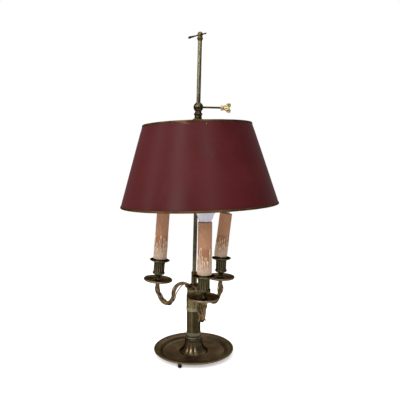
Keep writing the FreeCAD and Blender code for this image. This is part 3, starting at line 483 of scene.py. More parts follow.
def shade_outside():
    t = Mat("paint_oxblood")
    cloud = t.noise(9.0, 4.0, 0.55, distort=0.6)
    fine = t.noise(420.0, 3.0, 0.6)
    col = t.ramp(t.math("ADD", t.math("MULTIPLY", cloud, 0.85), t.math("MULTIPLY", fine, 0.15)), [
        (0.34, rgb(67, 18, 21)), (0.52, rgb(75, 22, 25)), (0.70, rgb(83, 27, 30))])
    # brushed coats: faint level streaks round the cone
    z = t.axes()[2]
    brush = t.noise(1.0, 3.0, 0.6, coord=t.vector(t.math("MULTIPLY", t.axes()[0], 14.0), t.math("MULTIPLY", t.axes()[1], 14.0), t.math("MULTIPLY", z, 900.0)))
    col = t.mix(t.span(brush, 0.45, 0.75, 0.0, 0.22), col, rgb(58, 14, 17))
    # dirt that settles beside the two edges
    edge = t.attr("edge")
    dirt = t.math("MULTIPLY", t.span(edge, 0.0, 1.0), t.span(t.noise(60.0, 5.0, 0.65), 0.35, 0.65, 0.35, 1.0))
    col = t.mix(t.math("MULTIPLY", dirt, 0.55), col, rgb(56, 24, 18))
    # small chips and rubs, denser near the top edge
    chip = t.math("MULTIPLY", t.span(t.noise(210.0, 4.0, 0.7), 0.66, 0.70), t.span(t.noise(16.0, 2.0), 0.52, 0.62))
    chip = t.math("MULTIPLY", chip, t.span(t.attr("edge_near"), 0.1, 0.9, 0.15, 1.0))
    col = t.mix(chip, col, rgb(146, 112, 92))
    # one long pale rub left of the middle, close under the top edge
    s = t.axes(t.stretch(1, 1, 1))
    rub_x = t.math("MULTIPLY", t.math("SUBTRACT", s[0], -0.0155), 95.0)
    rub_z = t.math("MULTIPLY", t.math("SUBTRACT", s[2], t.math("ADD", t.math("MULTIPLY", s[0], -0.16), 0.4832)), 620.0)
    rub = t.math("ADD", t.math("MULTIPLY", rub_x, rub_x), t.math("MULTIPLY", rub_z, rub_z))
    rub = t.math("MULTIPLY", t.span(rub, 0.2, 1.4, 1.0, 0.0), t.span(t.noise(500.0, 4.0, 0.7), 0.42, 0.60))
    rub = t.math("MULTIPLY", rub, t.span(s[1], -0.05, -0.09))
    col = t.mix(t.math("MULTIPLY", rub, 0.65), col, rgb(150, 116, 92))
    rough = t.span(cloud, 0.3, 0.7, 0.36, 0.48)
    rough = t.math("ADD", rough, t.math("MULTIPLY", chip, 0.2))
    peel = t.noise(700.0, 2.0, 0.5)
    h = t.math("ADD", t.math("MULTIPLY", peel, 0.5), t.math("MULTIPLY", brush, 0.5))
    h = t.math("SUBTRACT", h, t.math("MULTIPLY", chip, 1.2))
    t.set(Base_Color=col, Roughness=rough, Normal=t.bump(h, 0.00005, 0.6))
    t.b.inputs["Specular IOR Level"].default_value = 0.10
    return t.m


def shade_inside():
    t = Mat("paint_inside")
    cloud = t.noise(14.0, 5.0, 0.6)
    col = t.ramp(cloud, [(0.32, rgb(196, 180, 150)), (0.55, rgb(216, 204, 178)), (0.75, rgb(226, 216, 196))])
    # heat has browned the paint towards the top
    z = t.axes()[2]
    heat = t.math("MULTIPLY", t.span(z, 0.40, 0.49), t.span(t.noise(22.0, 4.0), 0.3, 0.7, 0.4, 1.0))
    col = t.mix(t.math("MULTIPLY", heat, 0.45), col, rgb(150, 118, 78))
    brush = t.noise(1.0, 3.0, 0.6, coord=t.vector(t.math("MULTIPLY", t.axes()[0], 10.0), t.math("MULTIPLY", t.axes()[1], 10.0), t.math("MULTIPLY", z, 700.0)))
    t.set(Base_Color=t.mix(t.span(brush, 0.45, 0.8, 0.0, 0.2), col, rgb(176, 160, 130)), Roughness=t.span(cloud, 0.3, 0.7, 0.5, 0.62), Normal=t.bump(brush, 0.00006, 0.5))
    return t.m


def candle_finish():
    t = Mat("candle_sleeve")
    wax, tip, cut = t.attr("wax"), t.attr("tip"), t.attr("cut")
    # vertical brush streaks of the tan body; the coordinates ride on the sleeve
    u, v = t.attr("turn"), t.attr("level")
    grain = t.noise(1.0, 4.0, 0.6, coord=t.vector(t.math("MULTIPLY", u, 46.0), t.math("MULTIPLY", v, 1.3), 0.0))
    grain2 = t.noise(1.0, 3.0, 0.6, coord=t.vector(t.math("MULTIPLY", u, 150.0), t.math("MULTIPLY", v, 3.0), 3.7))
    body = t.ramp(t.math("ADD", t.math("MULTIPLY", grain, 0.65), t.math("MULTIPLY", grain2, 0.35)), [
        (0.34, rgb(146, 98, 66)), (0.50, rgb(172, 124, 92)), (0.66, rgb(190, 144, 112))])
    spot = t.span(t.noise(900.0, 3.0, 0.6), 0.62, 0.72)
    body = t.mix(t.math("MULTIPLY", spot, 0.25), body, rgb(120, 78, 50))
    pale = t.ramp(t.math("ADD", t.math("MULTIPLY", grain, 0.5), t.math("MULTIPLY", grain2, 0.5)), [
        (0.38, rgb(138, 102, 80)), (0.49, rgb(182, 153, 132)), (0.60, rgb(208, 186, 168))])
    col = t.mix(wax, body, pale)
    # cream wax at the finger tips, lightened further as a painted highlight
    col = t.mix(t.math("MULTIPLY", tip, 1.3, clamp=True), col, rgb(238, 216, 178))
    # darker slits between the fingers: dark paint and painted shadow
    col = t.mix(t.math("MULTIPLY", cut, 0.85, clamp=True), col, rgb(122, 72, 40))
    # painted shade: occlusion darkens the crevices between the wax fingers
    ao = t.crevice_shade(0.0016)
    col = t.mix(t.span(ao, 0.45, 0.9, 0.45, 0.0), col, rgb(110, 66, 38))
    h = t.math("ADD", grain2, t.math("MULTIPLY", t.noise(1500.0, 2.0), 0.5))
    t.set(Base_Color=col, Roughness=t.span(wax, 0.0, 1.0, 0.62, 0.5), Normal=t.bump(h, 0.00008, 0.6))
    t.b.inputs["Subsurface Weight"].default_value = 0.08
    t.b.inputs["Subsurface Radius"].default_value = (0.002, 0.001, 0.0006)
    t.b.inputs["Subsurface Scale"].default_value = 1.0
    return t.m


def opal():
    t = Mat("glass_opal")
    cloud = t.noise(60.0, 3.0, 0.5)
    col = t.ramp(cloud, [(0.3, rgb(178, 174, 192)), (0.7, rgb(190, 186, 202))])
    t.set(Base_Color=col, Roughness=t.span(t.noise(30.0, 2.0), 0.3, 0.7, 0.10, 0.16), Normal=t.bump(t.noise(120.0, 2.0), 0.00003, 0.4))
    t.b.inputs["Subsurface Weight"].default_value = 0.25
    t.b.inputs["Subsurface Radius"].default_value = (0.006, 0.006, 0.007)
    t.b.inputs["Subsurface Scale"].default_value = 1.0
    t.b.inputs["Coat Weight"].default_value = 0.6
    t.b.inputs["Coat Roughness"].default_value = 0.05
    return t.m


def clear_glass():
    t = Mat("glass_clear")
    t.set(Base_Color=t.ramp(t.noise(40.0, 2.0), [(0.3, (0.94, 0.95, 0.95, 1)), (0.7, (0.99, 0.99, 0.98, 1))]), Roughness=t.span(t.noise(50.0, 2.0), 0.3, 0.7, 0.01, 0.04), Normal=t.bump(t.noise(70.0, 2.0), 0.00005, 0.3))
    t.b.inputs["Transmission Weight"].default_value = 0.95
    t.b.inputs["IOR"].default_value = 1.48
    return t.m


def dull(name, a, b, scale, rough, bump_scale, depth, sheen=0.0, metal=0.0):
    t = Mat(name)
    n = t.noise(scale, 5.0, 0.6)
    t.set(Base_Color=t.ramp(n, [(0.32, a), (0.68, b)]), Roughness=t.span(n, 0.3, 0.7, *rough), Metallic=metal, Normal=t.bump(t.noise(bump_scale, 3.0, 0.6), depth, 0.8))
    if sheen:
        t.b.inputs["Sheen Weight"].default_value = sheen
        t.b.inputs["Sheen Roughness"].default_value = 0.5
    return t.m


M["paint_out"] = shade_outside()
M["paint_in"] = shade_inside()
M["candle"] = candle_finish()
M["opal"] = opal()
M["clear"] = clear_glass()
M["felt"] = dull("felt_green", rgb(48, 56, 40), rgb(70, 78, 58), 700.0, (0.9, 1.0), 1800.0, 0.0003, sheen=0.3)
M["thermoset"] = dull("holder_black", rgb(26, 22, 20), rgb(44, 38, 34), 160.0, (0.35, 0.5), 900.0, 0.00005)
M["rubber"] = dull("bush_rubber", rgb(30, 22, 20), rgb(50, 40, 36), 240.0, (0.5, 0.66), 1400.0, 0.00006)
M["filament"] = dull("tungsten", rgb(60, 58, 56), rgb(100, 96, 92), 300.0, (0.3, 0.5), 900.0, 0.00002, metal=1.0)


def flex():
    t = Mat("wire_cloth")
    n = t.noise(180.0, 4.0, 0.6)
    weave = t.attr("weave")
    col = t.ramp(n, [(0.3, rgb(78, 60, 40)), (0.52, rgb(98, 78, 54)), (0.74, rgb(118, 97, 72))])
    col = t.mix(t.span(weave, 0.1, 0.9, 0.3, 0.0), col, rgb(60, 44, 28))
    t.set(Base_Color=col, Roughness=0.55, Normal=t.bump(t.noise(2600.0, 2.0), 0.00003, 0.6))
    t.b.inputs["Sheen Weight"].default_value = 0.15
    t.b.inputs["Sheen Roughness"].default_value = 0.4
    return t.m


M["wire"] = flex()


def give(obj, *mats):
    # clearing an empty list would put every face back to the first material
    if len(obj.data.materials):
        obj.data.materials.clear()
    for m in mats:
        obj.data.materials.append(M[m])
    return obj


def done(obj, mats, body, nodes=()):
    give(obj, *([mats] if isinstance(mats, str) else mats))
    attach(obj, body)
    if nodes:
        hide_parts(*nodes)
    return obj


# ------------------------------------------------------- nodes that stay as CAD
CARRIED = {
    "base_felt": "felt", "base_washer": "steel", "base_nut": "steel", "threaded_tube": "steel",
    "base_bell": "bell", "base_collar": "collar_ring", "stem_tube": "stem", "stem_band": "band",
    "capital": "capital", "branch_hub": "hub", "rod_socket": "hub", "centre_rod": "rod", "rod_cap": "rod_end",
    "slide_collar": "collar", "key_screw": "screw", "shade_spider": "rod_end",
}
for side in UNITS:
    CARRIED["branch_" + side] = "branch"
    CARRIED["candle_nipple_" + side] = "steel"
    CARRIED["holder_bracket_" + side] = "steel"
    CARRIED["lamp_holder_" + side] = "thermoset"
    CARRIED["bulb_cap_" + side] = "nickel"
    CARRIED["bulb_" + side] = "opal"
for node, finish in CARRIED.items():
    give(NODES[node], finish)

# --------------------------------------------------------------------- the dish
prof = trace((5.08, 12.0), [
    ("L", (13.5, 12.0)), ("L", (14.6, 1.22)), ("L", (63.0, 1.22)),
    ("S", [(66.5, 1.7), (69.5, 3.4), (72.5, 6.6), (76.5, 8.6), (83.1, 9.4)]), ("A", (86.1, 10.4), (84.1, 12.2)),
    ("S", [(82.6, 11.55), (79.0, 11.0), (75.0, 10.2), (72.0, 8.9), (69.8, 6.6), (67.6, 4.2), (65.0, 3.0)]),
    ("L", (62.0, 3.0), 0.35), ("L", (34.0, 3.0), 2.0), ("L", (29.5, 3.0), 0.4), ("L", (16.4, 3.0)), ("L", (15.4, 13.6)), ("L", (5.08, 13.6)), ("L", (5.08, 12.0)),
], 0.4)


def dish_detail(R, Z, A):
    middle = np.interp(R, [62, 65, 67.6, 69.8, 72, 75, 79, 83, 84.4], [2.1, 2.3, 3.2, 5.1, 7.5, 9.15, 10.05, 10.5, 10.8])
    top = (Z > middle) & (R > 20) & (R < 84.4)
    lines = np.zeros_like(R)
    for r0, wide, deep in ((82.3, 0.42, -0.42), (79.6, 0.36, -0.30), (65.3, 0.55, 0.30), (33.0, 0.5, 0.22), (31.9, 0.3, -0.2)):
        lines += deep * np.exp(-(((R - r0) / wide) ** 2))
    dents = 0.05 * np.sin(3 * A + 0.6) * np.sin(R * 0.11) + 0.035 * np.sin(7 * A + R * 0.05)
    Z = Z + np.where(top, lines + dents, 0)
    # grooves darker: painted shade with tarnish; beads lighter from polish
    wear = np.where(top, np.clip(lines * 2.2, -1, 1), 0)
    rim = np.exp(-(((R - 85.2) / 1.3) ** 2))
    wear = np.clip(wear + rim * (0.35 + 0.2 * np.sin(5 * A + 1) * np.sin(2 * A)), -1, 1)
    # painted shade in the corner at the foot of the wall, with dirt
    wear = np.where(top, wear - 0.5 * np.exp(-(((R - 68.0) / 3.0) ** 2)) * (0.6 + 0.4 * np.sin(4 * A + 2)), wear)
    return R, Z, {"wear": wear}


dish = lathe("dish", prof, seg=224, shape=dish_detail)
done(dish, "dish", "lamp", ["base_dish"])

# ------------------------------------------------------------------- drip pans
for side, (centre, lean_a, lean_b, L, seed) in UNITS.items():
    A_, B_ = FRAMES[side]
    rng = random.Random(seed)
    prof = trace((3.08, -4.0), [
        ("L", (8.0, -4.0)), ("L", (8.0, -2.3)),
        ("S", [(18.0, -2.6), (26.5, -2.1), (30.5, -1.1)]), ("A", (31.5, 0.9), (30.6, 2.9)),
        ("S", [(28.4, 1.5), (22.0, 0.0), (14.0, -0.4), (8.0, -0.4)]),
        ("L", (3.08, -0.4)), ("L", (3.08, -4.0)),
    ], 0.3)
    phase = rng.random() * 6

    def pan_detail(R, Z, A, phase=phase):
        top = (Z > -1.0 + np.clip((R - 8) / 22.4, 0, 1) * 1.1) & (R > 6.5) & (R < 31.2)
        lines = -0.34 * np.exp(-(((R - 29.3) / 0.32) ** 2)) + 0.34 * np.exp(-(((R - 12.2) / 0.6) ** 2)) + 0.16 * np.exp(-(((R - 28.3) / 0.4) ** 2))
        low = (~top) & (Z < 1.4) & (R > 9)
        under = -0.25 * np.exp(-(((R - 29.0) / 0.5) ** 2))
        Z = Z + np.where(top, lines, 0) + np.where(low, under, 0) + 0.12 * np.clip((R - 12) / 20, 0, 1) * np.sin(2 * A + phase)
        # the groove darker: painted shade with tarnish; beads and the rim edge lighter from polish
        wear = np.where(top, np.clip(lines * 2.4, -1, 1), 0) + 0.75 * np.exp(-(((R - 31.0) / 0.7) ** 2))
        wear = wear - np.where(top, 0.5 * np.exp(-(((R - 24.0) / 4.0) ** 2)) * (0.5 + 0.5 * np.sin(3 * A + phase)), 0)
        return R, Z, {"wear": np.clip(wear, -1, 1)}

    pan = lathe("pan_" + side, prof, A_, seg=144, shape=pan_detail)
    done(pan, "pan", "lamp", ["drip_pan_" + side])

    # ------------------------------------------------------------- candle cups
    prof = trace((3.08, -0.38), [
        ("L", (5.4, -0.38)), ("A", (6.3, 0.9), (5.4, 2.2)),
        ("S", [(4.3, 3.6), (4.2, 5.5), (4.6, 8.0), (6.6, 10.6), (10.4, 12.6), (12.6, 13.8)]),
        ("A", (13.5, 16.0), (12.6, 18.2)), ("L", (12.0, 18.9), 0.25), ("L", (12.0, 37.5), 0.45),
        ("S", [(12.6, 39.6), (15.6, 41.4), (19.0, 42.5), (21.2, 43.7)]), ("A", (21.8, 44.9), (20.9, 45.6)),
        ("S", [(19.6, 44.4), (16.6, 43.4), (13.2, 43.2)]),
        ("L", (13.2, 47.8), 0.6), ("L", (10.6, 47.8)), ("L", (10.6, 16.4)), ("L", (3.08, 16.4)), ("L", (3.08, -0.38)),
    ], 0.33)

    def cup_detail(R, Z, A):
        outer = R > 11.0
        wear = np.zeros_like(R)
        # sixteen flutes with rounded ends
        n = 16
        wave = 0.5 + 0.5 * np.cos(n * A)
        hollow = wave ** 0.8
        ends = smooth((Z - 19.6) / 1.6) * (1 - smooth((Z - 35.4) / 1.6))
        body = outer & (Z > 18.5) & (Z < 38.2) & (R < 12.4)
        R = R - np.where(body, 0.95 * hollow * ends, 0)
        # flute channels darker: painted shade with tarnish; ridges lighter from polish
        wear = np.where(body, (0.75 - 1.5 * hollow) * ends, wear)
        # gadroons round the bead and the calyx under it
        n = 22
        lobe = np.abs(np.cos(n * A / 2)) ** 0.55
        bead = (Z > 9.0) & (Z < 18.6) & (R > 5.2) & (R > 10.7 - 10 * (Z < 15.5))
        amount = smooth((Z - 9.0) / 3.5) * (1 - smooth((Z - 17.6) / 1.0))
        R = R - np.where(bead, 0.95 * (1 - lobe) * amount, 0)
        # darker between the gadroons: painted shade with tarnish; their crowns lighter from polish
        wear = np.where(bead, (lobe * 1.3 - 0.75) * amount, wear)
        # worn lip
        lip = np.exp(-(((R - 21.6) / 0.7) ** 2)) * (Z > 42)
        wear = np.clip(wear + 0.5 * lip, -1, 1)
        return R, Z, {"wear": wear}

    cup = lathe("cup_" + side, prof, A_, seg=256, shape=cup_detail)
    done(cup, "cup", "lamp", ["candle_cup_" + side])

    # --------------------------------------------------------------- candles
    gap = max(14.0 * math.tan(math.radians(abs(lean_b - lean_a))) - 0.2, 0.05)
    top_h = L - 0.6
    rows = [(14.0, z) for z in np.linspace(gap, top_h, 190)]
    prof = np.array(rows + [(13.7, L - 0.15), (13.4, L), (12.35, L)] + [(12.35, z) for z in np.linspace(L - 1, gap, 12)] + [(14.0, gap)])
    count = 42
    fingers = []
    for i in range(count):
        th = 2 * math.pi * (i + 0.35 * rng.uniform(-1, 1)) / count
        pick = rng.random()
        tall = rng.uniform(0.24, 0.34) if pick < 0.35 else rng.uniform(0.34, 0.46) if pick < 0.78 else rng.uniform(0.47, 0.57)
        if side != "front":
            tall *= 0.93
        fingers.append((th, tall * L, rng.uniform(0.95, 1.5), rng.uniform(0.6, 1.0), rng.uniform(-0.03, 0.03), rng.uniform(0, 6)))
    ridge_ph = [rng.uniform(0, 6.28) for _ in range(4)]

    def candle_detail(R, Z, A, L=L, fingers=fingers, ridge_ph=ridge_ph, gap=gap, k_outer=len(rows)):
        outer = np.zeros_like(R, bool)
        outer[:k_outer] = True
        ra = 14.0
        base_h = L * (0.13 + 0.035 * np.sin(3 * A + ridge_ph[0]) + 0.03 * np.sin(7 * A + ridge_ph[1]))
        sheet = 0.42 * (1 - smooth((Z - base_h) / 5.0))
        ridges = 0.5 + 0.5 * np.sin(31 * A + 0.6 * np.sin(Z * 0.09 + ridge_ph[2]) + ridge_ph[3])
        thick = sheet * (0.75 + 0.6 * ridges)
        tip = np.zeros_like(R)
        for th, high, wide, fat, slant, ph in fingers:
            mid = th + slant * (Z / 30.0) + 0.012 * np.sin(Z * 0.16 + ph)
            d = np.abs((A - mid + math.pi) % (2 * math.pi) - math.pi) * ra
            up = np.clip(Z / high, 0, 1)
            w = wide * (1.0 - 0.62 * up ** 1.3)
            head = np.exp(-(((Z - (high - 1.3)) / 1.5) ** 2))
            w = w * (1 + 0.35 * head)
            inside = np.clip(1 - (d / w) ** 2, 0, 1)
            fade = 1 - smooth((Z - high + 0.9) / 1.3)
            t = fat * (1 - 0.25 * up) * np.sqrt(inside) * fade * (1 + 0.25 * head)
            thick = np.maximum(thick, t)
            # tip marks the cream wax at each finger's end, which also carries a painted highlight
            tip = np.maximum(tip, (inside > 0) * fade * smooth((Z - high + 9.0) / 7.0) * np.sqrt(inside))
        thick = np.where(outer, thick, 0)
        wax = smooth((thick - 0.05) / 0.25)
        # dark slits low down between the fingers: dark paint lines and painted shadow in the gaps
        cut = np.where(outer, (1 - wax) * (1 - smooth((Z - L * 0.46) / 10.0)) * smooth((Z - L * 0.1) / 8.0), 0) * 0.6
        swell = np.where(outer, 0.06 * np.sin(2 * A + Z * 0.02) + 0.03 * np.sin(9 * A), 0)
        return R + thick + swell * (Z < L - 2), Z, {
            "wax": wax, "tip": np.where(outer, tip, 0), "cut": cut, "turn": np.sin(A / 2), "level": Z * 0.1 + 3 * np.cos(A / 2),
        }

    candle = lathe("candle_" + side, prof, B_, seg=288, shape=candle_detail, sharp=60)
    done(candle, "candle", "lamp", ["candle_sleeve_" + side])

# --------------------------------------------------------- clear bulb, right arm
L, B_ = UNITS["right"][3], FRAMES["right"][1]
skin = [(6.9, L - 11.0), (7.1, L - 5.0), (7.7, L + 1.0), (9.8, L + 9.0), (14.4, L + 19.0), (17.3, L + 29.0),
        (16.3, L + 40.0), (12.0, L + 51.0), (6.6, L + 60.5), (2.4, L + 66.2), (0, L + 67.8)]
outer = spline(skin, 0.9)
outer[-1] = (0, L + 67.8)
inner = [(max(0.0, r - 0.75), z) for r, z in spline([(6.9, L - 11.0), (7.1, L - 5.0), (7.7, L + 1.0), (9.8, L + 9.0), (14.4, L + 19.0), (17.3, L + 29.0), (16.3, L + 39.5), (12.0, L + 50.2), (6.6, L + 59.4), (2.4, L + 65.0)], 1.1)]
inner = [(r, min(z, L + 66.8)) for r, z in inner if r > 0.2] + [(0, L + 66.9)]
glass = lathe("bulb_clear", np.array(list(outer) + inner[::-1] + [tuple(outer[0])]), B_, seg=72, sharp=60)
done(glass, "clear", "lamp", ["bulb_right"])
post = trace((0, L - 10.9), [("L", (5.6, L - 10.9)), ("S", [(3.4, L - 4.0), (2.3, L + 4.0), (2.0, L + 14.0)]), ("A", (1.6, L + 15.4), (0, L + 15.8))], 0.7)
stem_glass = lathe("bulb_stem", post, B_, seg=32, sharp=60)
done(stem_glass, "clear", "lamp")
wires = []
for s in (-1, 1):
    route = spline([(s * 1.2, 0, L + 12.0), (s * 2.4, 0, L + 18.0), (s * 4.6, 0, L + 26.0), (s * 5.2, 0, L + 33.0)], 1.0)
    wires.append(sweep("lead", place_points(B_, route), 0.22, 8))
coil = [(5.2 * math.cos(a), 1.6 * math.sin(3 * a), L + 33.0 + 7.0 * abs(math.sin(a))) for a in np.linspace(0, math.pi, 40)]
wires.append(sweep("coil", place_points(B_, np.array(coil)), 0.2, 8, shape=lambda R, S, A: (R * (1 + 0.25 * np.sin(A + S * 9)), {})))
done(joined("bulb_filament", wires), "filament", "lamp")

# ---------------------------------------------------------------- branch wires
LINE = [
    (4.7, 146.4, 2.9), (12.7, 148.9, 2.9), (22.0, 150.9, 2.9), (31.0, 148.4, 2.9),
    (39.4, 140.8, 3.1), (43.2, 134.2, 3.3), (45.2, 127.6, 3.5), (47.4, 118.4, 3.8),
    (51.8, 109.4, 4.1), (61.2, 102.9, 4.3), (70.6, 105.9, 4.4), (76.8, 113.4, 4.4),
    (80.6, 122.4, 4.4), (82.5, 131.6, 4.4),
]


def soft_line(ctrl, grain=0.3):
    """Smooth line that cuts inside its control points, ends on the end points."""
    C = np.array(ctrl, float)
    C = np.concatenate([C[:1] * 2 - C[1:2], C, C[-1:] * 2 - C[-2:-1]])
    out = []
    for i in range(1, len(C) - 1):
        a, b, c = (C[i - 1] + C[i]) / 2, C[i], (C[i] + C[i + 1]) / 2
        count = max(2, int(np.linalg.norm(c - a) / grain))
        for t in np.linspace(0, 1, count, endpoint=False):
            out.append((1 - t) ** 2 * a + 2 * t * (1 - t) * b + t * t * c)
    out.append((C[-2] + C[-1]) / 2)
    return np.array(out)


def braid(R, S, A):
    n = 5
    p = 2 * math.pi * S / 2.6
    a = np.sin(n * A + p) * np.sin(n * A - p)
    return R * (1 + 0.06 * a), {"weave": 0.5 + 0.5 * a}


for side, (centre, lean_a, lean_b, L, seed) in UNITS.items():
    A_, B_ = FRAMES[side]
    rho = math.hypot(centre[0], centre[1])
    d = np.array([centre[0] / rho, centre[1] / rho, 0])
    flank = np.cross([0, 0, 1.0], d)
    lower = 154.3 - centre[2]
    pts, rads = [], []
    for r, h, q in LINE:
        pts.append(d * r + np.array([0, 0, h - lower * float(smooth((r - 27.0) / 24.0))]))
        rads.append(q)
    for down in (13.0, 4.05):
        pts.append(np.array(A_ @ Vector((0, 0, -down))))
        rads.append(4.4)
    line = spline(pts, 0.25)
    run = np.concatenate([[0], np.cumsum(np.linalg.norm(np.diff(line, axis=0), axis=1))])
    tangent = np.gradient(line, axis=0)
    tangent /= np.linalg.norm(tangent, axis=1)[:, None]
    at = [float(run[int(np.argmin(np.linalg.norm(line - p, axis=1)))]) for p in pts]
    total = run[-1]
    steps = int(round(total / 5.2))
    solids = []
    for strand in (0, 1):
        sign = 1 if strand == 0 else -1
        route = [d * out + flank * (4.6 * sign) + np.array([0, 0, high]) for out, high in ((9.4, 131.0), (9.5, 137.4), (10.6, 143.4), (14.3, 148.2))]
        for k in range(steps):
            want = total * k / steps
            if want < 15.5:
                continue
            u = want / total
            j = int(np.searchsorted(run, want))
            p, tan = line[j], tangent[j]
            norm = np.cross(flank, tan)
            norm /= np.linalg.norm(norm)
            if strand == 0:
                turn = 90.0 - 650.0 * float(smooth((u - 0.05) / 1.15))
                if side == "left":
                    turn = 90.0 - 90.0 * float(smooth((u - 0.10) / 0.09)) - 560.0 * float(smooth((u - 0.36) / 0.9))
                    if 31.0 < want < 51.0:
                        continue
            else:
                turn = -90.0 - 610.0 * float(smooth((u - 0.02) / 1.15))
            a = math.radians(turn)
            reach = float(np.interp(want, at, rads)) + 1.7
            route.append(p + norm * (reach * math.cos(a)) + flank * (reach * math.sin(a)))
        tip = np.array(A_.inverted() @ Vector(route[-1]))
        tip[2] = -4.3
        flat = math.hypot(tip[0], tip[1])
        if flat < 6.0:
            tip[:2] *= 6.0 / flat
        route.append(np.array(A_ @ Vector(tip)))
        if np.linalg.norm(route[-1] - route[-2]) < 3.0:
            del route[-2]
        solids.append(sweep("strand", soft_line(route, 0.33), 1.2, 20, shape=braid))
    names = ["wire_%s_%d" % (side, k + 1) for k in range(2)]
    solids[0].name, solids[1].name = names
    done(solids[0], "wire", "lamp", ["branch_wires_" + side])
    done(solids[1], "wire", "lamp", [])

# --------------------------------------------------------------------- shade
slope = (167.0 - 114.3) / 169.1


def cone(h):
    return 167.0 - 0.6 - slope * h


heights = np.concatenate([np.linspace(3.2, 20, 22), np.linspace(22, 148, 44), np.linspace(150, 166.1, 22)])
out_rows = [(cone(h), h) for h in heights]
in_rows = [(cone(h) - 0.8, h) for h in heights[::-1]]
prof = np.array(out_rows + in_rows + [out_rows[0]])


def skin_detail(R, Z, A):
    k = len(out_rows)
    out_side = np.zeros_like(R, bool)
    out_side[:k] = True
    # hammered-flat sheet is never quite round; a lapped seam runs up the back
    free = smooth((Z - 4.0) / 16.0) * (1 - smooth((Z - 149.0) / 16.0))
    waver = free * (0.30 * np.sin(2 * A + 0.4) + 0.16 * np.sin(5 * A + 1.3 + Z * 0.01) + 0.08 * np.sin(11 * A + Z * 0.03))
    R = R + waver
    lap = (A - math.pi / 2) * (R / 1.0)
    step = smooth((lap + 5.2) / 0.9) * (1 - smooth((lap - 4.2) / 0.9))
    R = R + np.where(out_side, 0.45 * step, 0.0)
    edge = np.maximum(1 - (Z - 3.2) / 9.0, 1 - (166.1 - Z) / 8.0)
    near = np.maximum(1 - (Z - 3.2) / 30.0, 1 - (166.1 - Z) / 30.0)
    return R, Z, {"edge": np.clip(edge, 0, 1), "edge_near": np.clip(near, 0, 1)}


k_out = len(out_rows)
skin = lathe("shade_cone", prof, SHADE, seg=320, shape=skin_detail, mat_of=lambda i: 0 if i < k_out - 1 or i == 2 * k_out - 1 else 1)
done(skin, ["paint_out", "paint_in"], "shade", ["shade_skin"])

# rounded edge trims, a little uneven from being closed over the sheet by hand
for label, h0, h1 in (("rim_bottom", 0.0, 4.0), ("rim_top", 165.1, 169.1)):
    c0, c1 = h0 + 1.4, h1 - 1.4
    r0, r1 = cone(c0) - 0.7, cone(c1) - 0.7
    prof = trace((r0 + 1.4, c0), [
        ("L", (r1 + 1.4, c1), 0.4), ("A", (r1, c1 + 1.4), (r1 - 1.4, c1)),
        ("L", (r0 - 1.4, c0), 0.6), ("A", (r0, c0 - 1.4), (r0 + 1.4, c0)),
    ], 0.45)

    def bead_detail(R, Z, A, mid=(h0 + h1) / 2, ph=h0):
        wob = 0.06 * np.sin(9 * A + ph) + 0.05 * np.sin(23 * A + 2 * ph) + 0.03 * np.sin(61 * A)
        wear = 0.35 * np.sin(4 * A + ph) * np.sin(13 * A) + 0.25 * np.abs(Z - mid) - 0.2
        return R + wob * 0.5, Z + wob * 0.4, {"wear": np.clip(wear, -0.6, 0.6)}

    done(lathe(label, prof, SHADE, seg=360, shape=bead_detail, sharp=60), "trim", "shade", ["shade_" + label])

# riveted tabs that carry the three spokes
tabs = []
for az in (39.0, 159.0, 279.0):
    a = math.radians(az)
    h = 161.0
    r = cone(h)
    tilt = math.atan(slope)
    place = SHADE @ Matrix.Translation((r * math.cos(a), r * math.sin(a), h)) @ Matrix.Rotation(a, 4, "Z") @ Matrix.Rotation(math.pi / 2 - tilt, 4, "Y")
    head = trace((0, 1.15), [("S", [(0.9, 1.0), (1.7, 0.6), (2.1, -0.1)]), ("L", (2.1, -0.6)), ("L", (0, -0.6))], 0.25)
    tabs.append(lathe("head", head, place, seg=28))
    plate = trace((0, -0.9), [("L", (4.6, -0.9)), ("A", (5.2, -1.3), (4.9, -1.75)), ("L", (2.4, -1.9)), ("A", (1.9, -2.6), (0, -2.9))], 0.25)
    tabs.append(lathe("plate", plate, place, seg=32, shape=lambda R, Z, A: (R * np.cos(A) * 1.25, R * np.sin(A) * 0.8, Z, {})))
done(joined("spider_rivets", tabs), "rod_end", "shade", [])

# knurled ring nut under the spider
prof = trace((6.23, 375.5), [("L", (8.4, 375.5)), ("L", (9.2, 376.3)), ("L", (9.2, 380.4), 0.4), ("L", (8.4, 381.2)), ("L", (6.23, 381.2)), ("L", (6.23, 375.5))], 0.4)


def knurl(R, Z, A):
    side_ = R > 8.9
    groove = np.abs(np.sin(24 * A)) ** 0.7
    # knurl channels darker: painted shade with tarnish; ridges lighter from polish
    return R - np.where(side_, 0.35 * (1 - groove), 0), Z, {"wear": np.where(side_, groove * 0.8 - 0.4, 0)}


done(lathe("ring_nut", prof, ROD, seg=240, shape=knurl), "collar", "collar", ["spider_nut"])

# ---------------------------------------------------------------- key bow
outline = trace((46.9, -5.6), [
    ("L", (50.6, -5.6), 0.7), ("S", [(53.4, -5.0), (57.0, -6.4), (60.0, -9.0)]), ("A", (64.6, -10.3), (67.6, -6.0)),
    ("S", [(66.9, -2.6), (64.9, 0.0), (66.9, 2.6), (67.6, 6.0)]), ("A", (64.6, 10.3), (60.0, 9.0)),
    ("S", [(57.0, 6.4), (53.4, 5.0), (50.6, 5.6)]), ("L", (46.9, 5.6), 0.7), ("L", (46.9, -5.6), 0.7),
], 0.45)[:-1]


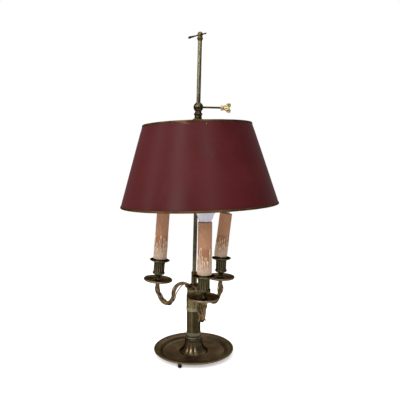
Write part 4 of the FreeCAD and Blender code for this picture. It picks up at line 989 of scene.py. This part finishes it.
def bow_heights(P):
    seg_a, seg_b = outline, np.roll(outline, -1, axis=0)
    ab = seg_b - seg_a
    best = np.full(len(P), 1e9)
    for a, v in zip(seg_a, ab):
        t = np.clip(((P - a) @ v) / (v @ v), 0, 1)
        best = np.minimum(best, np.linalg.norm(P - a - t[:, None] * v, axis=1))
    x, y = P[:, 0], P[:, 1]
    soft_edge = np.sqrt(np.clip(1 - (1 - np.clip(best / 1.3, 0, 1)) ** 2, 0, 1))
    h = 0.75 + 0.85 * soft_edge
    lobe = np.zeros(len(P))
    for s in (-1, 1):
        rr = np.hypot(x - 63.0, y - s * 5.7)
        spiral = 0.75 * np.exp(-(((rr - 2.9) / 0.75) ** 2)) - 1.0 * np.exp(-((rr / 1.5) ** 2))
        h += spiral * soft_edge
        lobe += np.exp(-((rr / 1.5) ** 2))
    spine = np.exp(-((y / 1.2) ** 2)) * smooth((x - 52.0) / 2.0) * (1 - smooth((x - 62.0) / 3.0))
    h += 0.45 * spine * soft_edge
    flare = np.exp(-(((np.abs(y) - (1.2 + (x - 52.0) * 0.42)) / 0.7) ** 2)) * smooth((x - 53.0) / 2.0) * (1 - smooth((x - 60.0) / 2.0))
    h += 0.35 * flare * soft_edge
    boss = np.sqrt(np.clip(3.3 ** 2 - y ** 2, 0, None)) * (1 - smooth((x - 51.6) / 2.2))
    h = np.maximum(h, boss)
    # lobe centres darker: painted shade in the dimples; edges, spine and flare lighter from polish
    wear = np.clip(0.8 * (1 - soft_edge) + 0.5 * spine + 0.4 * flare - 1.0 * lobe, -1, 1)
    return best, h, wear


gx, gy = np.meshgrid(np.arange(47.2, 67.8, 0.42), np.arange(-10.4, 10.5, 0.42))
grid = np.stack([gx.ravel() + 0.0, gy.ravel()], 1)
grid[:, 1] += 0.21 * (np.round((grid[:, 0] - 47.2) / 0.42) % 2)
best, _, _ = bow_heights(grid)
inside = np.zeros(len(grid), bool)
for a, b in zip(outline, np.roll(outline, -1, axis=0)):
    cross = (a[1] > grid[:, 1]) != (b[1] > grid[:, 1])
    with np.errstate(divide="ignore", invalid="ignore"):
        xs = (b[0] - a[0]) * (grid[:, 1] - a[1]) / (b[1] - a[1]) + a[0]
    inside ^= cross & (grid[:, 0] < xs)
grid = grid[inside & (best > 0.22)]
flat = np.concatenate([outline, grid])
n_edge = len(outline)
got = delaunay_2d_cdt([Vector(p) for p in flat], [(i, (i + 1) % n_edge) for i in range(n_edge)], [], 1, 1e-6)
P2 = np.array([tuple(v) for v in got[0]])
tris = [tuple(f) for f in got[2]]
_, high, wear = bow_heights(P2)
n = len(P2)
edge_count = {}
for f in tris:
    for a, b in zip(f, f[1:] + f[:1]):
        edge_count.setdefault(frozenset((a, b)), []).append((a, b))
verts = np.concatenate([np.stack([P2[:, 0], -high, P2[:, 1]], 1), np.stack([P2[:, 0], high, P2[:, 1]], 1)])
faces = [tuple(f) for f in tris] + [tuple(n + i for i in reversed(f)) for f in tris]
for pair in edge_count.values():
    if len(pair) == 1:
        a, b = pair[0]
        faces.append((b, a, n + a, n + b))
KEY = ROD @ Matrix.Translation((0, 0, 412.2))
bow = make("key_bow_cast", place_points(KEY, verts), faces, {"wear": np.concatenate([wear, wear])}, None, 48)
done(bow, "key", "key_wing", ["key_bow"])

# ------------------------------------------------------------- arrow handle
prof = trace((0, 18.3), [
    ("S", [(0.9, 17.2), (1.55, 14.6), (1.3, 12.0), (1.15, 9.5)]), ("L", (1.15, -8.0), 1.0),
    ("S", [(1.35, -12.0), (1.9, -19.0), (2.45, -27.0), (2.3, -32.5), (0, -35.2)]),
], 0.3)


def arrow_detail(R, Z, A):
    leaf = smooth((-Z - 9.0) / 4.0)
    spear = smooth((Z - 10.5) / 2.0)
    X, Y = R * np.cos(A), R * np.sin(A)
    up = np.abs(np.cos(A))
    barb = 0.5 + 0.5 * np.cos(2 * math.pi * (Z + 1.6 * np.abs(X)) / 2.3)
    Y = Y * (1 - leaf * 0.45) * (1 - spear * 0.35)
    X = X * (1 - leaf * 0.10 * barb * up)
    Y = Y * (1 - leaf * 0.25 * barb * up)
    quill = leaf * np.exp(-((np.cos(A) / 0.28) ** 2)) * 0.35
    Y = Y + np.sign(np.sin(A)) * quill
    bead = 0.0
    for z0 in (8.6, 7.4, -8.2, -9.6):
        bead = bead + 0.32 * np.exp(-(((Z - z0) / 0.45) ** 2))
    X, Y = X + bead * np.cos(A), Y + bead * np.sin(A)
    # beads lighter from polish; barb grooves on the vanes darker: painted shade with tarnish
    return X, Y, Z, {"wear": np.clip(0.5 * bead + leaf * (0.4 - 0.9 * barb * up), -1, 1)}


turn = Matrix.Translation(ROD @ Vector((0, 0, 559.6))) @ Matrix.Rotation(math.radians(-43.0), 4, "Z") @ Matrix.Rotation(math.pi / 2, 4, "Y")
done(lathe("arrow", prof, turn, seg=48, shape=arrow_detail, sharp=60), "arrow", "lamp", ["arrow_handle"])

# ----------------------------------------------------------------- cord bush
start, finish = Vector((-30.6, -60.5, 2.7)), Vector((-26.2, -82.0, 4.7))
span_len = (finish - start).length
aim = (finish - start).to_track_quat("Z", "Y").to_matrix().to_4x4()
prof = trace((0, 0), [
    ("L", (1.35, 0)), ("S", [(1.9, 4.0), (2.6, 9.0), (3.5, 14.0), (4.3, 17.8)]), ("A", (4.5, 20.0), (3.6, span_len)),
    ("A", (3.0, span_len - 0.1), (2.5, span_len - 0.5)), ("L", (2.5, span_len - 12.0)), ("L", (0, span_len - 12.0)),
], 0.22)


def ribs(R, Z, A):
    skin_ = (Z > 2) & (R > 1.7) & (R > 2.55 - 10 * (Z < 8))
    g = 0.0
    for z0 in (5.0, 7.6, 10.2, 12.8, 15.4):
        g = g + np.exp(-(((Z - z0) / 0.42) ** 2))
    return R - np.where(skin_, 0.42 * g, 0), Z, {}


done(lathe("lead_bush", prof, Matrix.Translation(start) @ aim, seg=56, shape=ribs, sharp=50), "rubber", "lamp", ["cord_bush"])

# ---------------------------------------------------------- floor and lights
mesh = bpy.data.meshes.new("floor")
half = 1.6
line = [-half + 2 * half * k / 16 for k in range(17)]
verts = [(x, y, 0.0) for y in line for x in line]
faces = [(17 * j + i, 17 * j + i + 1, 17 * (j + 1) + i + 1, 17 * (j + 1) + i) for j in range(16) for i in range(16)]
mesh.from_pydata(verts, [], faces)
mesh.polygons.foreach_set("use_smooth", np.ones(len(mesh.polygons), bool))
floor = bpy.data.objects.new("floor", mesh)
bpy.context.scene.collection.objects.link(floor)
t = Mat("paper_white")
t.set(Base_Color=t.ramp(t.noise(3.0, 3.0), [(0.3, (0.90, 0.90, 0.90, 1)), (0.7, (0.92, 0.92, 0.92, 1))]), Roughness=t.span(t.noise(40.0, 3.0), 0.3, 0.7, 0.85, 0.95))
t.b.inputs["Emission Color"].default_value = (1.0, 1.0, 1.0, 1.0)
t.b.inputs["Emission Strength"].default_value = 0.42
# the paper fades out evenly into the white surround
clear = t.nt.nodes.new("ShaderNodeBsdfTransparent")
fade = t.nt.nodes.new("ShaderNodeMixShader")
t.put(fade.inputs[0], t.span(t.radial(), 0.30, 1.20))
t.nt.links.new(t.b.outputs[0], fade.inputs[1])
t.nt.links.new(clear.outputs[0], fade.inputs[2])
t.nt.links.new(fade.outputs[0], t.out.inputs[0])
floor.data.materials.append(t.m)


def softbox(name, az, el, dist, w, h, power, color=(1, 1, 1), aim_at=(0.0, 0.0, 0.25)):
    """Area light; azimuth 0 is the camera's side, positive to the right."""
    a, e = math.radians(az), math.radians(el)
    at = Vector(aim_at) + Vector((math.sin(a) * math.cos(e), -math.cos(a) * math.cos(e), math.sin(e))) * dist
    data = bpy.data.lights.new(name, "AREA")
    data.shape, data.size, data.size_y = "RECTANGLE", w, h
    data.energy, data.color = power, color
    o = bpy.data.objects.new(name, data)
    o.location = at
    o.rotation_mode = "QUATERNION"
    o.rotation_quaternion = (Vector(aim_at) - at).to_track_quat("-Z", "Y")
    bpy.context.scene.collection.objects.link(o)
    return o


softbox("key", -34, 34, 1.7, 0.34, 0.9, 14, (1.0, 0.97, 0.92))
softbox("side", -78, 28, 1.8, 0.30, 0.8, 6, (1.0, 0.98, 0.95))
softbox("fill", 17, 36, 1.8, 0.28, 0.7, 8, (0.98, 1.0, 1.0))
softbox("overhead", 0, 88, 2.1, 2.4, 2.4, 36, (1, 1, 1))
softbox("rear", 165, 48, 2.0, 1.6, 1.0, 10, (1, 1, 1))

# a soft grey surround for the light, seen by the camera as plain white
world = bpy.data.worlds.new("studio")
world.use_nodes = True
sky = world.node_tree
back = sky.nodes["Background"]
back.inputs[0].default_value = (1.0, 1.0, 1.0, 1)
rays = sky.nodes.new("ShaderNodeLightPath")
level = sky.nodes.new("ShaderNodeMapRange")
level.inputs["To Min"].default_value, level.inputs["To Max"].default_value = 0.30, 1.0
sky.links.new(rays.outputs["Is Camera Ray"], level.inputs["Value"])
sky.links.new(level.outputs["Result"], back.inputs[1])
bpy.context.scene.world = world
bpy.context.scene.view_settings.view_transform = "Standard"

cam_data = bpy.data.cameras.new("camera")
cam_data.lens, cam_data.sensor_width = 41.31, 36.0
cam_data.clip_start, cam_data.clip_end = 0.05, 20.0
cam = bpy.data.objects.new("camera", cam_data)
cam.location = (0.0139, -0.9713, 0.4142)
cam.rotation_euler = (math.radians(85.2), 0.0, 0.0)
bpy.context.scene.collection.objects.link(cam)
bpy.context.scene.camera = cam

bpy.context.view_layer.update()
